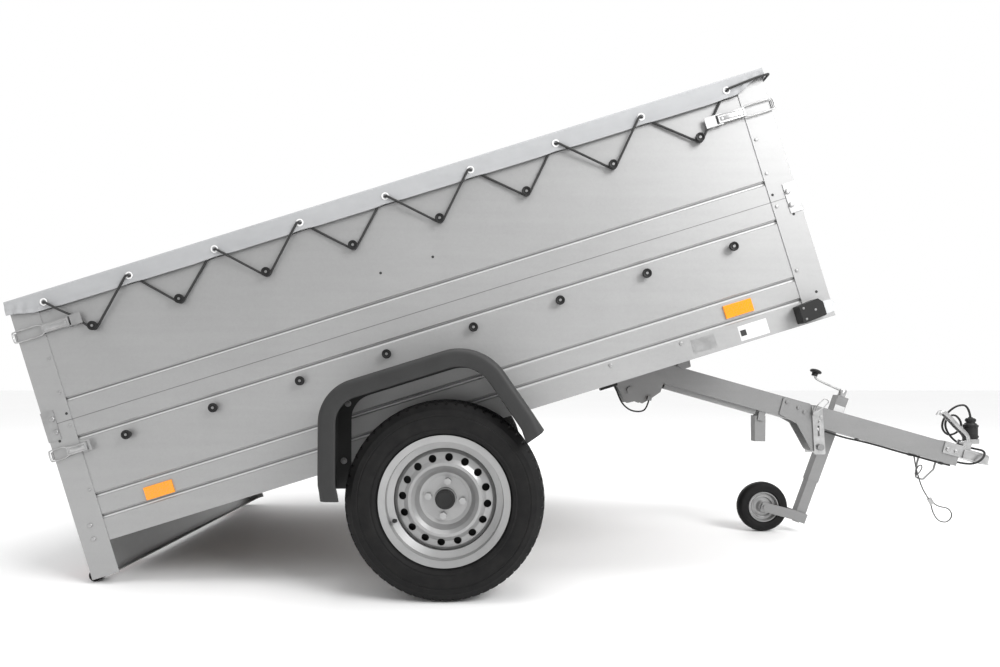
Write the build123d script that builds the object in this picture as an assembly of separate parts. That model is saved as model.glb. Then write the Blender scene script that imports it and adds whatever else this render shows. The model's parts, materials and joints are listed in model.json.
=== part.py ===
from build123d import *
import math
import os

# Tipping box trailer with raised sides, a laced flat cover and a folding drawbar.
# Millimetres. +X forward, +Y to the left, +Z up. It stands tipped back on two tyres,
# two rear rollers and its jockey wheel, and the origin is the middle of its footprint.
# "Bed" shapes are drawn level, from the rear bottom edge of the box, then tilted.
# "Bar" shapes are drawn along the drawbar, from the tipping bolt, then tilted.

# Box
bed_length = 2379.0
bed_width = 1270.0
lower_height = 382.0
upper_height = 394.0
seam_gap = 0.3
sheet = 2.0
panel_flange = 26.0
groove_depth = 4.0
groove_half = 8.0
lower_grooves = (74.0, 141.0, 323.0)
upper_grooves = (62.0, 345.0)
floor_level = 78.0
floor_thickness = 9.0
post_width = 85.0
post_foot = 101.0
board_thickness = 24.0
board_inset = 2.0
board_clearance = 3.0
board_pivot_rise = 12.0
board_pin_r = 6.0
fit_clearance = 0.05
running_gap = 0.4

# Cover and its lacing
cover_thickness = 2.5
cover_drop = 61.0
cover_gap = 10.0
cover_overhang = 5.0
eyelet_first = 114.0
eyelet_last = 118.6
eyelet_count = 9
eyelet_drop = 37.1
eyelet_r = 13.0
eyelet_hole_r = 7.8
hook_first = 235.0
hook_last = 237.2
hook_count = 8
upper_hook_drop = 146.3
lower_hook_drop = 94.0
hook_head_r = 14.0
hook_neck_r = 7.0
lace_r = 3.5

# Latches
upper_latch_x = 165.0
upper_latch_drop = 111.3
lower_latch_x = 106.0
lever_sweep = 10.0
lower_latch_drop = 90.0

# Running gear
wheel_x = 1105.0
wheel_drop = 162.0
wheel_stand_off = 102.5
tyre_r = 280.5
tyre_width = 165.0
rim_r = 184.0
vent_count = 16
vent_r = 11.0
vent_circle_r = 120.0
wheel_bolt_circle_r = 49.0
wheel_bolt_count = 4
hub_cap_r = 28.0
stub_r = 15.0
axle_x = 1235.0
axle_z = -27.0
axle_size = 70.0
arm_thickness = 20.0
spindle_r = 24.0
mudguard_depth = 220.0
mudguard_lip = 50.0
mudguard_wall = 3.0
mudguard_corner_r = 120.0
mudguard_foot_reach = 43.5
mudguard_top_inset = 47.5
mudguard_gap = 117.5
mudguard_foot = -53.0
roller_x = -7.0
roller_drop = 92.5
roller_r = 18.0
roller_length = 36.0

# Tipping hinge and drawbar
tip_x = 1837.0
tip_drop = 81.0
tip_bolt_r = 8.0
bar_width = 60.0
bar_height = 80.0
bar_wall = 3.0
bar_low = 61.5
rear_bar_start = 34.0
rear_bar_end = 700.0
front_bar_start = 722.0
front_bar_end = 1318.0
ear_thickness = 6.0
bracket_thickness = 5.0
rail_width = 40.0
rail_wall = 3.0
fold_x = 777.0
fold_z = -13.0
lock_pin_x = 716.0
lock_pin_z = 108.0
lock_pin_r = 5.0
tip_lock_x = 529.0
tip_lock_z = 34.0

# Jockey leg, drawn in its own frame: z up the tube
jockey_x = 842.0
jockey_stand_off = 38.0
jockey_tilt = 4.3
jockey_tube = 44.0
jockey_wall = 2.0
jockey_play = 0.5
jockey_top = 213.0
jockey_outer_bottom = -150.0
jockey_inner_bottom = -285.0
jockey_wheel_r = 100.0
jockey_wheel_width = 50.0
jockey_trail = -151.0
jockey_axle_z = -317.0
jockey_axle_r = 8.0
knob_reach = -131.0

# Coupling head
ball_r = 25.0
ball_clearance = 0.5
ball_x = 1406.0
coupling_low = 98.0
coupling_bore = 12.0
handle_x = 1345.0
handle_z = 158.0
jaw_pin_x = 1349.0
jaw_pin_z = 131.0
plug_r = 25.0
plug_y = 41.0

half = bed_width / 2
box_top = lower_height + seam_gap + upper_height
wheel_y = half + wheel_stand_off
mudguard_half = tyre_r + mudguard_foot_reach
mudguard_top_half = tyre_r - mudguard_top_inset
mudguard_top = tyre_r - wheel_drop + mudguard_gap
jockey_y = bar_width / 2 + jockey_stand_off
jockey_inner = jockey_tube - 2 * (jockey_wall + jockey_play)
upper_hook_height = box_top - upper_hook_drop
lower_hook_height = lower_height - lower_hook_drop
upper_latch_z = box_top - upper_latch_drop
lower_latch_z = lower_height - lower_latch_drop
eyelet_pitch = (bed_length - eyelet_first - eyelet_last) / (eyelet_count - 1)
hook_pitch = (bed_length - hook_first - hook_last) / (hook_count - 1)
rivet_heights = (163.0, lower_height - 16, lower_height + 88, box_top - 199.3)
post_face = half + sheet
return_x = board_inset + board_thickness + 7.0
tailgate_low = 6.0
board_high = lower_height - 3.0
upper_low = lower_height + 4.0
upper_high = box_top - 6.0
latch_axis_y = post_face + 6.5
cover_side = half + cover_gap
cover_top = box_top + cover_thickness + seam_gap
eyelet_height = cover_top - eyelet_drop
axis_height = tyre_r
bracket_face = bar_width / 2 + ear_thickness + running_gap
rail_face = bracket_face + bracket_thickness


def solve_tilt(reach, offset, rise):
    """Angle in degrees at which reach*sin(a) + offset*cos(a) equals rise."""
    return math.degrees(math.asin(rise / math.hypot(reach, offset)) - math.atan2(offset, reach))


# The bed leans back until its rollers touch the ground on which the tyres stand.
bed_tilt = solve_tilt(wheel_x - roller_x, roller_drop - wheel_drop, axis_height - roller_r)
bed_place = Pos(0, 0, axis_height) * Rot(0, -bed_tilt, 0) * Pos(-wheel_x, 0, wheel_drop)
tip_point = bed_place * Pos(tip_x, 0, -tip_drop)

# The drawbar leans down until the jockey wheel touches the same ground.
jockey_sin = math.sin(math.radians(jockey_tilt))
jockey_cos = math.cos(math.radians(jockey_tilt))
jockey_wheel_x = jockey_x + jockey_trail * jockey_cos + jockey_axle_z * jockey_sin
jockey_wheel_z = jockey_axle_z * jockey_cos - jockey_trail * jockey_sin
bar_tilt = solve_tilt(jockey_wheel_x, -jockey_wheel_z, tip_point.position.Z - jockey_wheel_r)
bar_place = Pos(tip_point.position) * Rot(0, bar_tilt, 0)
jockey_place = Pos(jockey_x, jockey_y, 0) * Rot(0, jockey_tilt, 0)


def block(x0, x1, y0, y1, z0, z1):
    """Box between two corners."""
    centre = Pos((x0 + x1) / 2, (y0 + y1) / 2, (z0 + z1) / 2)
    return centre * Box(abs(x1 - x0), abs(y1 - y0), abs(z1 - z0))


def slab(outline, y0, y1, corner=0.0):
    """Outline of (x, z) points made a plate between two widths."""
    wire = Polyline(*[(x, y0, z) for x, z in outline], close=True)
    plate = extrude(make_face(wire), amount=abs(y1 - y0), dir=(0, 1 if y1 > y0 else -1, 0))
    if corner:
        plate = fillet(plate.edges().filter_by(Axis.Y), corner)
    return plate


def cross_bar(x, z, y0, y1, radius):
    """Round bar across the trailer."""
    return Pos(x, (y0 + y1) / 2, z) * Rot(90, 0, 0) * Cylinder(radius, abs(y1 - y0))


def upright(x, y, z0, z1, radius):
    """Round bar standing up."""
    return Pos(x, y, (z0 + z1) / 2) * Cylinder(radius, abs(z1 - z0))


def mirrored(shape):
    """Copy on the other side of the centre plane."""
    return mirror(shape, about=Plane.XZ)


def end_mirrored(shape):
    """Copy at the other end of the box."""
    return mirror(shape, about=Plane((bed_length / 2, 0, 0), z_dir=(1, 0, 0)))


def pair(shapes):
    """Shapes with their mirror copies."""
    return list(shapes) + [mirrored(shape) for shape in shapes]


def four(shapes):
    """Shapes at both sides and both ends of the box."""
    return pair(list(shapes) + [end_mirrored(shape) for shape in shapes])


def panel_profile(low, high, grooves, depth):
    """Folded sheet section as (inset, height) points, inset counted from the outer face."""
    outer = [(depth, low), (0, low)]
    for middle in grooves:
        outer += [(0, middle - groove_half), (groove_depth, middle - groove_half / 2)]
        outer += [(groove_depth, middle + groove_half / 2), (0, middle + groove_half)]
    outer += [(0, high), (depth, high)]
    inner = [(depth, low + sheet), (sheet, low + sheet)]
    for middle in grooves:
        inner += [(sheet, middle - groove_half), (groove_depth + sheet, middle - groove_half / 2)]
        inner += [(groove_depth + sheet, middle + groove_half / 2), (sheet, middle + groove_half)]
    inner += [(sheet, high - sheet), (depth, high - sheet)]
    return outer + inner[::-1]


def side_panel(low, high, grooves):
    """Left side sheet between the end posts."""
    section = panel_profile(low, high, grooves, panel_flange)
    profile = [(return_x + sheet, half - inset, z) for inset, z in section]
    face = make_face(Polyline(*profile, close=True))
    return extrude(face, amount=bed_length - 2 * (return_x + sheet), dir=(1, 0, 0))


def end_board(low, high, grooves):
    """Rear board of folded sheet with closed ends and a pivot hole at each side."""
    reach = half - board_clearance
    points = [(board_inset + inset, -reach, z) for inset, z in panel_profile(low, high, grooves, board_thickness)]
    skin = extrude(make_face(Polyline(*points, close=True)), amount=2 * reach, dir=(0, 1, 0))
    face_x = board_inset + groove_depth + sheet
    cap = block(face_x, board_inset + board_thickness, reach - sheet, reach, low + sheet, high - sheet)
    pivot_x = board_inset + board_thickness / 2
    hole = cross_bar(pivot_x, low + board_pivot_rise, -reach - 1, reach + 1, board_pin_r + fit_clearance)
    return (skin + cap + mirrored(cap)) - hole


def keeper(height):
    """Catch on a rear board that a latch bail lies against."""
    foot = block(board_inset - 7, board_inset, half - 45, half - board_clearance, height - 12, height + 12)
    nose = block(board_inset - 7, -running_gap, half - board_clearance, half + 5, height - 12, height + 12)
    return foot + nose


def board_pins(low):
    """Left pivot pin of an end board, seated on the post."""
    pivot_x = board_inset + board_thickness / 2
    return cross_bar(pivot_x, low + board_pivot_rise, half - 20, half, board_pin_r)


def corner_posts():
    """Rear left angle posts: a lower one that runs down to the lamp beam, and an upper one."""
    lower = block(0, post_width, half, post_face, -post_foot, lower_height)
    lower += block(return_x, return_x + sheet, half - 40, half, floor_level + floor_thickness, lower_height)
    upper = block(0, post_width, half, post_face, lower_height + seam_gap, box_top)
    upper += block(return_x, return_x + sheet, half - 40, half, lower_height + seam_gap, box_top)
    front = block(0, post_width, half, post_face, 0, lower_height)
    front += block(return_x, return_x + sheet, half - 40, half, floor_level + floor_thickness, lower_height)
    return pair([lower, upper, end_mirrored(front), end_mirrored(upper)])


def cross_member(x, inner, depth):
    """Left half of a folded floor bearer, reaching from a centre rail to the side."""
    low = floor_level - depth
    body = block(x, x + 40, inner, half - groove_depth - sheet - 0.3, low, floor_level)
    return body - block(x + sheet, x + 41, inner - 1, half, low + sheet, floor_level - sheet)


def centre_rail():
    """Left channel rail that the drawbar nests beside, with its tipping bracket and guide."""
    low = floor_level - 70.0
    front = bed_length - return_x
    rail = block(980, front, rail_face, rail_face + rail_width, low, floor_level)
    rail -= block(979, front + 1, rail_face + rail_wall, rail_face + rail_width + 1, low + rail_wall,
                  floor_level - rail_wall)
    outline = [(tip_x - 46, low + 34), (tip_x - 46, -40), (tip_x - 30, -tip_drop - 44), (tip_x + 36, -tip_drop - 48),
               (tip_x + 46, -40), (tip_x + 60, low + 34)]
    bracket = slab(outline, bracket_face, rail_face, 8)
    bracket -= cross_bar(tip_x, -tip_drop, bracket_face - 1, rail_face + 1, tip_bolt_r + fit_clearance)
    guide = slab([(2046, low + 30), (2046, -48), (2062, -64), (2092, -64), (2104, low + 30)], bracket_face,
                 rail_face, 6)
    return [rail, bracket, guide]


def floor_frame():
    """Bearers, centre rails, tipping brackets and tipping bolt."""
    outer = rail_face + rail_width
    parts = []
    for x in (return_x + sheet + 5, 420.0, 860.0):
        parts.append(cross_member(x, 0, 70))
    for x in (1360.0, 1700.0, bed_length - 299.0):
        parts.append(cross_member(x, outer, 70))
    parts.append(cross_member(bed_length - return_x - 42, outer, 70))
    parts += centre_rail()
    bolt = cross_bar(tip_x, -tip_drop, -rail_face - 4, rail_face + 4, tip_bolt_r)
    head = cross_bar(tip_x, -tip_drop, rail_face, rail_face + 9, 14)
    sill = block(bed_length - return_x + 2, bed_length - 2, outer, half - 0.5, 0, floor_level)
    sill -= block(bed_length - return_x, bed_length - 4, outer - 1, half, sheet, floor_level - sheet)
    return pair(parts + [sill]) + [bolt + head + mirrored(head)]


def floor_panel():
    """Flat floor over the bearers."""
    front = bed_length - return_x - sheet
    return [block(return_x + sheet, front, -half + sheet + 5, half - sheet - 5, floor_level,
                  floor_level + floor_thickness)]


def axle_beam():
    """Square torsion tube with a bush in each end and a saddle under each rail."""
    reach = half - 41
    low = axle_z - axle_size / 2
    tube = block(axle_x - axle_size / 2, axle_x + axle_size / 2, -reach, reach, low, low + axle_size)
    tube -= block(axle_x - axle_size / 2 + 4, axle_x + axle_size / 2 - 4, -reach - 1, reach + 1, low + 4,
                  low + axle_size - 4)
    bush = block(axle_x - axle_size / 2 + 4, axle_x + axle_size / 2 - 4, reach - 60, reach, low + 4,
                 low + axle_size - 4)
    bush -= cross_bar(axle_x, axle_z, reach - 61, reach + 1, spindle_r + fit_clearance)
    hanger = block(axle_x - 45, axle_x + 45, half - 110, half - 60, low + axle_size, floor_level)
    hanger -= block(axle_x - 39, axle_x + 39, half - 104, half - 59, low + axle_size - 1, floor_level - 4)
    return [tube] + pair([bush, hanger])


def lamp_beam():
    """Rear channel that carries the lamps and the stand rollers."""
    web_x = 14.0
    reach = half
    web = block(web_x, web_x + sheet, -reach, reach, -post_foot, 0)
    top = block(web_x, 78, -reach, reach, -sheet, 0)
    bottom = block(web_x, 60, -reach, reach, -post_foot, -post_foot + sheet)
    beam = web + top + bottom
    middle = half - 25 - roller_length / 2
    ear = slab([(roller_x - 8, -roller_drop - 8), (roller_x - 8, -roller_drop + 8), (web_x, -roller_drop + 20),
                (web_x, -roller_drop - 8)], middle - roller_length / 2 - 6, middle - roller_length / 2 - 0.5)
    pin = cross_bar(roller_x, -roller_drop, middle - roller_length / 2 - 0.5, middle + roller_length / 2 + 3, 6)
    stay = slab([(web_x + sheet, -30), (web_x + sheet, -3), (35, -3), (35, -30)], half - 70, half - 66)
    return [beam] + pair([ear + pin, stay])


def stand_rollers():
    """Two black rollers on which the tipped box stands."""
    middle = half - 25 - roller_length / 2
    roller = cross_bar(roller_x, -roller_drop, middle - roller_length / 2, middle + roller_length / 2, roller_r)
    roller -= cross_bar(roller_x, -roller_drop, 0, half, 6 + fit_clearance)
    return pair([roller])


def front_lamp():
    """Left front position lamp: body and lens."""
    rear = bed_length - 117
    seam = rear + 72
    body = slab([(rear, 6), (rear, 60), (seam - 12, 66), (seam, 52), (seam, 12)], post_face, post_face + 42, 4)
    lens = slab([(seam, 14), (seam, 54), (seam + 24, 52), (seam + 32, 42), (seam + 32, 26), (seam + 24, 16)],
                post_face, post_face + 38, 5)
    return body, lens


def rear_lamp():
    """Left rear lamp: housing on the beam and its lens."""
    inner, outer = half - 305, half - 85
    housing = block(6, 14, inner, outer, -88, -14)
    lens = block(-6, 6, inner + 4, outer - 4, -84, -18)
    lens = fillet(lens.edges().group_by(Axis.X)[0], 5)
    return housing, lens


def reflectors():
    """Flat side reflectors, front and rear."""
    items = []
    for x, z in ((273, 100), (bed_length - 274, 106)):
        plate = block(x - 44, x + 44, half, half + 6, z - 20, z + 20)
        items.append(fillet(plate.edges().group_by(Axis.Y)[-1], 2))
    return pair(items)


def knob_positions():
    """Places along the box of the cover hooks."""
    return [hook_first + hook_pitch * index for index in range(hook_count)]


def cover_hook(x, z):
    """Round hook on the left side: foot, neck and head."""
    foot = cross_bar(x, z, half, half + 4, 9)
    neck = cross_bar(x, z, half + 4, half + 13, hook_neck_r)
    head = cross_bar(x, z, half + 13, half + 21, hook_head_r)
    return foot + neck + fillet(head.edges().group_by(Axis.Y)[-1], 3)


def eyelet(x):
    """Ring through the left skirt of the cover."""
    face = cover_side + cover_thickness
    ring = cross_bar(x, eyelet_height, face, face + 2, eyelet_r)
    sleeve = cross_bar(x, eyelet_height, cover_side - 1, face, eyelet_hole_r + 2)
    return (ring + sleeve) - cross_bar(x, eyelet_height, cover_side - 2, face + 3, eyelet_hole_r)


def eyelet_places():
    """Places along the box of the cover's eyelets."""
    return [eyelet_first + eyelet_pitch * index for index in range(eyelet_count)]


def hooks_and_eyelets():
    """Hooks in two rows and the ring eyelets of the cover."""
    items = []
    for x in knob_positions():
        items.append(cover_hook(x, upper_hook_height))
        items.append(cover_hook(x, lower_hook_height))
    items += [eyelet(x) for x in eyelet_places()]
    return pair(items)


def cover_sheet():
    """Flat top of the cover with its two side skirts."""
    low = cover_top - cover_thickness - cover_drop
    outer = block(-cover_overhang, bed_length + cover_overhang, -cover_side - cover_thickness,
                  cover_side + cover_thickness, low, cover_top)
    outer -= block(-cover_overhang - 1, bed_length + cover_overhang + 1, -cover_side, cover_side, low - 1,
                   cover_top - cover_thickness)
    for x in eyelet_places():
        outer -= cross_bar(x, eyelet_height, -cover_side - 4, -cover_side + 1, eyelet_hole_r + 2)
        outer -= cross_bar(x, eyelet_height, cover_side - 1, cover_side + 4, eyelet_hole_r + 2)
    return [outer]


def cover_flap():
    """Rear end flap of the cover."""
    low = cover_top - cover_thickness - cover_drop
    return block(-cover_overhang, -cover_overhang + cover_thickness, -cover_side + 0.3, cover_side - 0.3, low,
                 cover_top - cover_thickness - 0.3)


def wrap_corner(x, start, end, rise, turn_r):
    """Corner whose arc goes round a hook, as a place along the box and a rise from the hook."""
    corner_x, corner_z = x, -turn_r
    for _ in range(6):
        back = math.atan2(start - corner_x, rise - corner_z)
        forward = math.atan2(end - corner_x, rise - corner_z)
        lean, drop = (forward + back) / 2, turn_r / math.sin((forward - back) / 2)
        corner_x, corner_z = x - drop * math.sin(lean), -drop * math.cos(lean)
    return corner_x, corner_z


def lace_points():
    """Route of the left elastic cord: a V round each hook, alternately outside and behind the skirt."""
    outside = cover_side + cover_thickness + 2.5 + lace_r
    behind = cover_side - 1.5 - lace_r
    wrap = half + 7.9
    rise = eyelet_height - upper_hook_height
    turn_r = hook_neck_r + lace_r + 0.4
    rings = eyelet_places()
    points = [(rings[0] - 20, behind, eyelet_height + 8)]
    radii = []
    for index, x in enumerate(knob_positions()):
        ahead, away = (outside, behind) if index % 2 == 0 else (behind, outside)
        start, end = rings[index], rings[index + 1]
        points += [(start - 6, away, eyelet_height + 2), (start + 6, ahead, eyelet_height - 3)]
        radii += [5.0, 5.0]
        if index == 0:
            points += [(start + 42, outside, eyelet_height - 39), (start + 67, behind + 1, eyelet_height - 63)]
            radii += [20.0, 20.0]
        corner_x, corner_rise = wrap_corner(x, start + 6, end - 6, rise - 3, turn_r)
        points.append((corner_x, wrap, upper_hook_height + corner_rise))
        radii.append(turn_r)
    last = rings[hook_count]
    points += [(last - 6, behind, eyelet_height - 3), (last + 6, outside, eyelet_height + 2)]
    points += [(bed_length - 25, outside, eyelet_height + 9), (bed_length + 16, outside - 1, eyelet_height + 9)]
    points += [(bed_length + 16, outside - 70, eyelet_height + 7)]
    radii += [5.0, 5.0, 60.0, 7.0]
    return points, radii


def tube_along(points, radii, radius):
    """Round cord along straight runs joined by tangent arcs."""
    path = FilletPolyline(*points, radius=radii)
    start = path @ 0
    section = Plane(origin=start, z_dir=path % 0) * Circle(radius)
    cord = sweep(section, path=path)
    print("cord", round(path.length), "mm, smallest radius", round(min(radii), 1),
          "volume ratio", round(cord.volume / (math.pi * radius ** 2 * path.length), 4))
    return cord


def joint_plate():
    """Rear left plate over the seam between the lower and upper posts, with two bolts."""
    plate = block(-2, 38, post_face, post_face + sheet, lower_height - 49, lower_height + 43)
    bolts = [dome(29, lower_height + rise, post_face + sheet, 8) for rise in (-24, 17)]
    return [plate] + bolts


def dome(x, z, y, radius):
    """Domed bolt or rivet head on a left face."""
    head = cross_bar(x, z, y, y + radius * 0.55, radius)
    return fillet(head.edges().group_by(Axis.Y)[-1], radius * 0.45)


def latch_base(pivot_x, height, length, tail):
    """Left latch foot with two ears and its pin, and a raised tail that bridges the cord."""
    foot_face = half if pivot_x - length > post_width else post_face
    foot = block(pivot_x - length, pivot_x - 4, foot_face, post_face + 1.5, height - 12, height + 12)
    foot += block(pivot_x - 9, pivot_x - 4, half, post_face + 1.5, height - 16.5, height + 16.5)
    for low in (height + 13.4, height - 16.5):
        foot += block(pivot_x - 9, pivot_x + 4, half, latch_axis_y + 4, low, low + 3.1)
        foot += block(pivot_x - 9, tail, latch_axis_y + 3.8, latch_axis_y + 6, low, low + 3.1)
    foot += block(pivot_x + lever_sweep, tail, latch_axis_y + 4.5, latch_axis_y + 6, height - 16.5, height + 16.5)
    return foot + upright(pivot_x, latch_axis_y, height - 16.5, height + 16.5, 2.5)


def latch_lever(pivot_x, height, channel):
    """Left latch: channel lever with a wire bail that reaches past the rear edge of the box."""
    low, high = height - 13, height + 13
    root = pivot_x - channel
    lever = block(root, pivot_x + 4, latch_axis_y - 3.5, latch_axis_y + 6, low, high)
    lever -= block(root - 1, pivot_x + 5, latch_axis_y - 4, latch_axis_y + 4.5, low + 1.5, high - 1.5)
    lever -= upright(pivot_x, latch_axis_y, low - 1, high + 1, 2.5 + fit_clearance)
    lever += upright(root + 8, latch_axis_y + 1, low + 1.5, high - 1.5, 3)
    wire = 2.2
    tip = -8.0
    points = [(root + 8, latch_axis_y + 1, height - 8), (root - 8, latch_axis_y + 1, height - 17),
              (tip, latch_axis_y, height - 17), (tip, latch_axis_y, height + 17),
              (root - 8, latch_axis_y + 1, height + 17), (root + 8, latch_axis_y + 1, height + 8)]
    path = FilletPolyline(*points, radius=4)
    bail = sweep(Plane(origin=path @ 0, z_dir=path % 0) * Circle(wire), path=path)
    return lever + bail


def hardware():
    """Fixed zinc-plated pieces: seam plates, bolts, rivets, board pins and latch feet."""
    corner = joint_plate() + [dome(72, z, post_face, 5) for z in rivet_heights]
    items = four(corner)
    items += pair([dome(42, 59, post_face, 7), dome(41, 17, post_face, 7)])
    pins = [board_pins(tailgate_low), board_pins(upper_low)]
    items += pair(pins + [end_mirrored(pins[1])])
    feet = [latch_base(upper_latch_x, upper_latch_z, 72, 209), latch_base(lower_latch_x, lower_latch_z, 50, 124)]
    items += pair(feet + [end_mirrored(feet[0])])
    items += pair([dome(1686, 56, half, 6), dome(1909, 56, half, 6)])
    return items


def mudguard_outline(inset, drop):
    """Arch wire inset from the outside of the mudguard, closed below its feet."""
    middle = wheel_x - 1.0
    slope = (mudguard_half - mudguard_top_half) / (mudguard_top - mudguard_foot)
    side = inset * math.hypot(1, slope)
    foot = mudguard_half - side + drop * slope
    top = mudguard_top_half - side + inset * slope
    low = mudguard_foot - drop
    high = mudguard_top - inset
    points = [(middle - foot, 0, low), (middle - top, 0, high), (middle + top, 0, high), (middle + foot, 0, low)]
    arch = FilletPolyline(*points, radius=mudguard_corner_r - inset)
    return arch + Line(points[-1], points[0])


def mudguard():
    """Left plastic mudguard: arch, outer lip and an inner flange against the box side."""
    outer = extrude(make_face(mudguard_outline(0, 0)), amount=mudguard_depth, dir=(0, 1, 0))
    hollow = extrude(make_face(mudguard_outline(mudguard_wall, 5)), amount=mudguard_depth - 2 * mudguard_wall,
                     dir=(0, 1, 0))
    mouth = extrude(make_face(mudguard_outline(mudguard_lip, 5)), amount=mudguard_depth + 2, dir=(0, 1, 0))
    guard = outer - Pos(0, mudguard_wall, 0) * hollow - Pos(0, -1, 0) * mouth
    return Pos(0, half, 0) * guard


def revolved(points):
    """Ring about the wheel's Y axis from (radius, y) points."""
    face = make_face(Polyline(*[(radius, y, 0) for radius, y in points], close=True))
    return revolve(face, axis=Axis.Y)


def tyre():
    """Road tyre with four tread grooves."""
    edge = tyre_width / 2
    outer = [(rim_r - 15.6, 60.5), (rim_r + 1, 64.5), (rim_r + 6, edge - 6), (rim_r + 22, edge - 0.7),
             (rim_r + 51, edge), (tyre_r - 19, edge - 6), (tyre_r - 5.5, edge - 18), (tyre_r, edge - 32)]
    inner = [(rim_r - 15.6, 48), (rim_r + 12, 60), (rim_r + 30, edge - 10), (tyre_r - 24, edge - 16),
             (tyre_r - 14, edge - 40)]
    ring = outer + [(radius, -y) for radius, y in outer[::-1]]
    hollow = [(radius, -y) for radius, y in inner] + inner[::-1]
    body = revolved(ring + hollow)
    for y in (-40.0, -14.0, 14.0, 40.0):
        body -= revolved([(tyre_r - 7, y - 3.5), (tyre_r + 1, y - 4), (tyre_r + 1, y + 4), (tyre_r - 7, y + 3.5)])
    return body


def rim():
    """Pressed steel wheel: barrel and pierced disc."""
    outer = [(rim_r, 66), (rim_r - 16, 62), (rim_r - 18, 38), (rim_r - 36, 28)]
    ring = outer + [(radius, -y) for radius, y in outer[::-1]]
    inner = [(rim_r, 70), (rim_r - 19, 65), (rim_r - 21, 41), (rim_r - 39, 31)]
    back = [(radius, -y) for radius, y in inner] + inner[::-1]
    barrel = revolved(ring + back)
    face = [(145.5, 4), (144, 20), (134, 31), (116, 36), (104, 44), (96, 44), (86, 34), (74, 16), (64, 12), (31, 12)]
    disc = revolved(face + [(radius - 1, y - 4) for radius, y in face[::-1][:-1]] + [(145.5, 0)])
    cutter = Pos(vent_circle_r, 30, 0) * Rot(90, 0, 0) * Cylinder(vent_r, 40)
    for index in range(vent_count):
        disc -= Rot(0, 360 / vent_count * index, 0) * cutter
    for place in bolt_places():
        disc -= place * Rot(90, 0, 0) * Cylinder(6.5, 40)
    return barrel + disc


def bolt_places():
    """Wheel bolt positions on the disc."""
    step = 360 / wheel_bolt_count
    return [Rot(0, 24.5 + step * index, 0) * Pos(wheel_bolt_circle_r, 12, 0) for index in range(wheel_bolt_count)]


def hub():
    """Hub with its four wheel bolts and grease cap."""
    body = revolved([(stub_r + fit_clearance, -60), (36, -60), (36, -8), (62, -8), (62, 7.7), (30, 7.7), (30, 20),
                     (stub_r + fit_clearance, 20)])
    bolts = []
    for place in bolt_places():
        head = Pos(0, 6, 0) * Rot(90, 0, 0) * extrude(RegularPolygon(10.5, 6), amount=5.5, both=True)
        shank = Pos(0, -2.1, 0) * Rot(90, 0, 0) * Cylinder(6, 4.4)
        bolts.append(place * (head + shank))
    cap = revolved([(0, 20.3), (hub_cap_r, 20.3), (hub_cap_r, 30), (hub_cap_r - 4, 34), (0, 34)])
    return [body] + bolts + [cap]


def axle_arm():
    """Left trailing arm with its spindle in the axle tube and its stub axle."""
    inner = half - 41 + 1.0
    outer = inner + arm_thickness
    run = math.hypot(axle_x - wheel_x, wheel_drop + axle_z)
    lean = math.degrees(math.atan2(-wheel_drop - axle_z, wheel_x - axle_x))
    web = Pos(axle_x, inner + arm_thickness / 2, axle_z) * Rot(0, -lean, 0) * Pos(run / 2, 0, 0) * Box(
        run, arm_thickness, 52)
    ends = cross_bar(axle_x, axle_z, inner, outer, 25.5) + cross_bar(wheel_x, -wheel_drop, inner, outer, 30)
    spindle = cross_bar(axle_x, axle_z, inner - 62, inner, spindle_r)
    stub = cross_bar(wheel_x, -wheel_drop, outer, wheel_y + 14, stub_r)
    collar = cross_bar(wheel_x, -wheel_drop, outer, wheel_y - 62, 24)
    return web + ends + spindle + stub + collar


def bar_tube(start, end, width, low):
    """Square drawbar tube."""
    tube = block(start, end, -width / 2, width / 2, low, low + bar_height)
    return tube - block(start - 1, end + 1, -width / 2 + bar_wall, width / 2 - bar_wall, low + bar_wall,
                        low + bar_height - bar_wall)


def drawbar_rear():
    """Rear tube with its hinge ears, cable tray, tip-lock lugs and cable clip."""
    tube = bar_tube(rear_bar_start, rear_bar_end, bar_width, bar_low)
    outline = [(-24, -12), (-12, -26), (30, -34), (61, -37), (87, -11), (118, 26), (120, 63), (113, 90), (40, 112),
               (-4, 70), (-24, 20)]
    ear = slab(outline, bar_width / 2, bar_width / 2 + ear_thickness, 5)
    ear -= cross_bar(0, 0, bar_width / 2 - 1, bar_width / 2 + ear_thickness + 1, tip_bolt_r + fit_clearance)
    tray = block(130, 505, -20, 20, bar_low - 18, bar_low)
    tray -= block(129, 506, -18.5, 18.5, bar_low - 16.5, bar_low - 1.5)
    lug = slab([(tip_lock_x - 14, bar_low), (tip_lock_x + 14, bar_low), (tip_lock_x + 10, tip_lock_z - 9),
                (tip_lock_x - 10, tip_lock_z - 9)], 22, 26)
    pin = cross_bar(tip_lock_x, tip_lock_z, -26, 26, 5)
    ear_face = bar_width / 2 + ear_thickness
    clip = block(72, 88, -ear_face - 16, -ear_face, -18, -2)
    return [tube, tray, lug + mirrored(lug) + pin, clip] + pair([ear])


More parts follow.
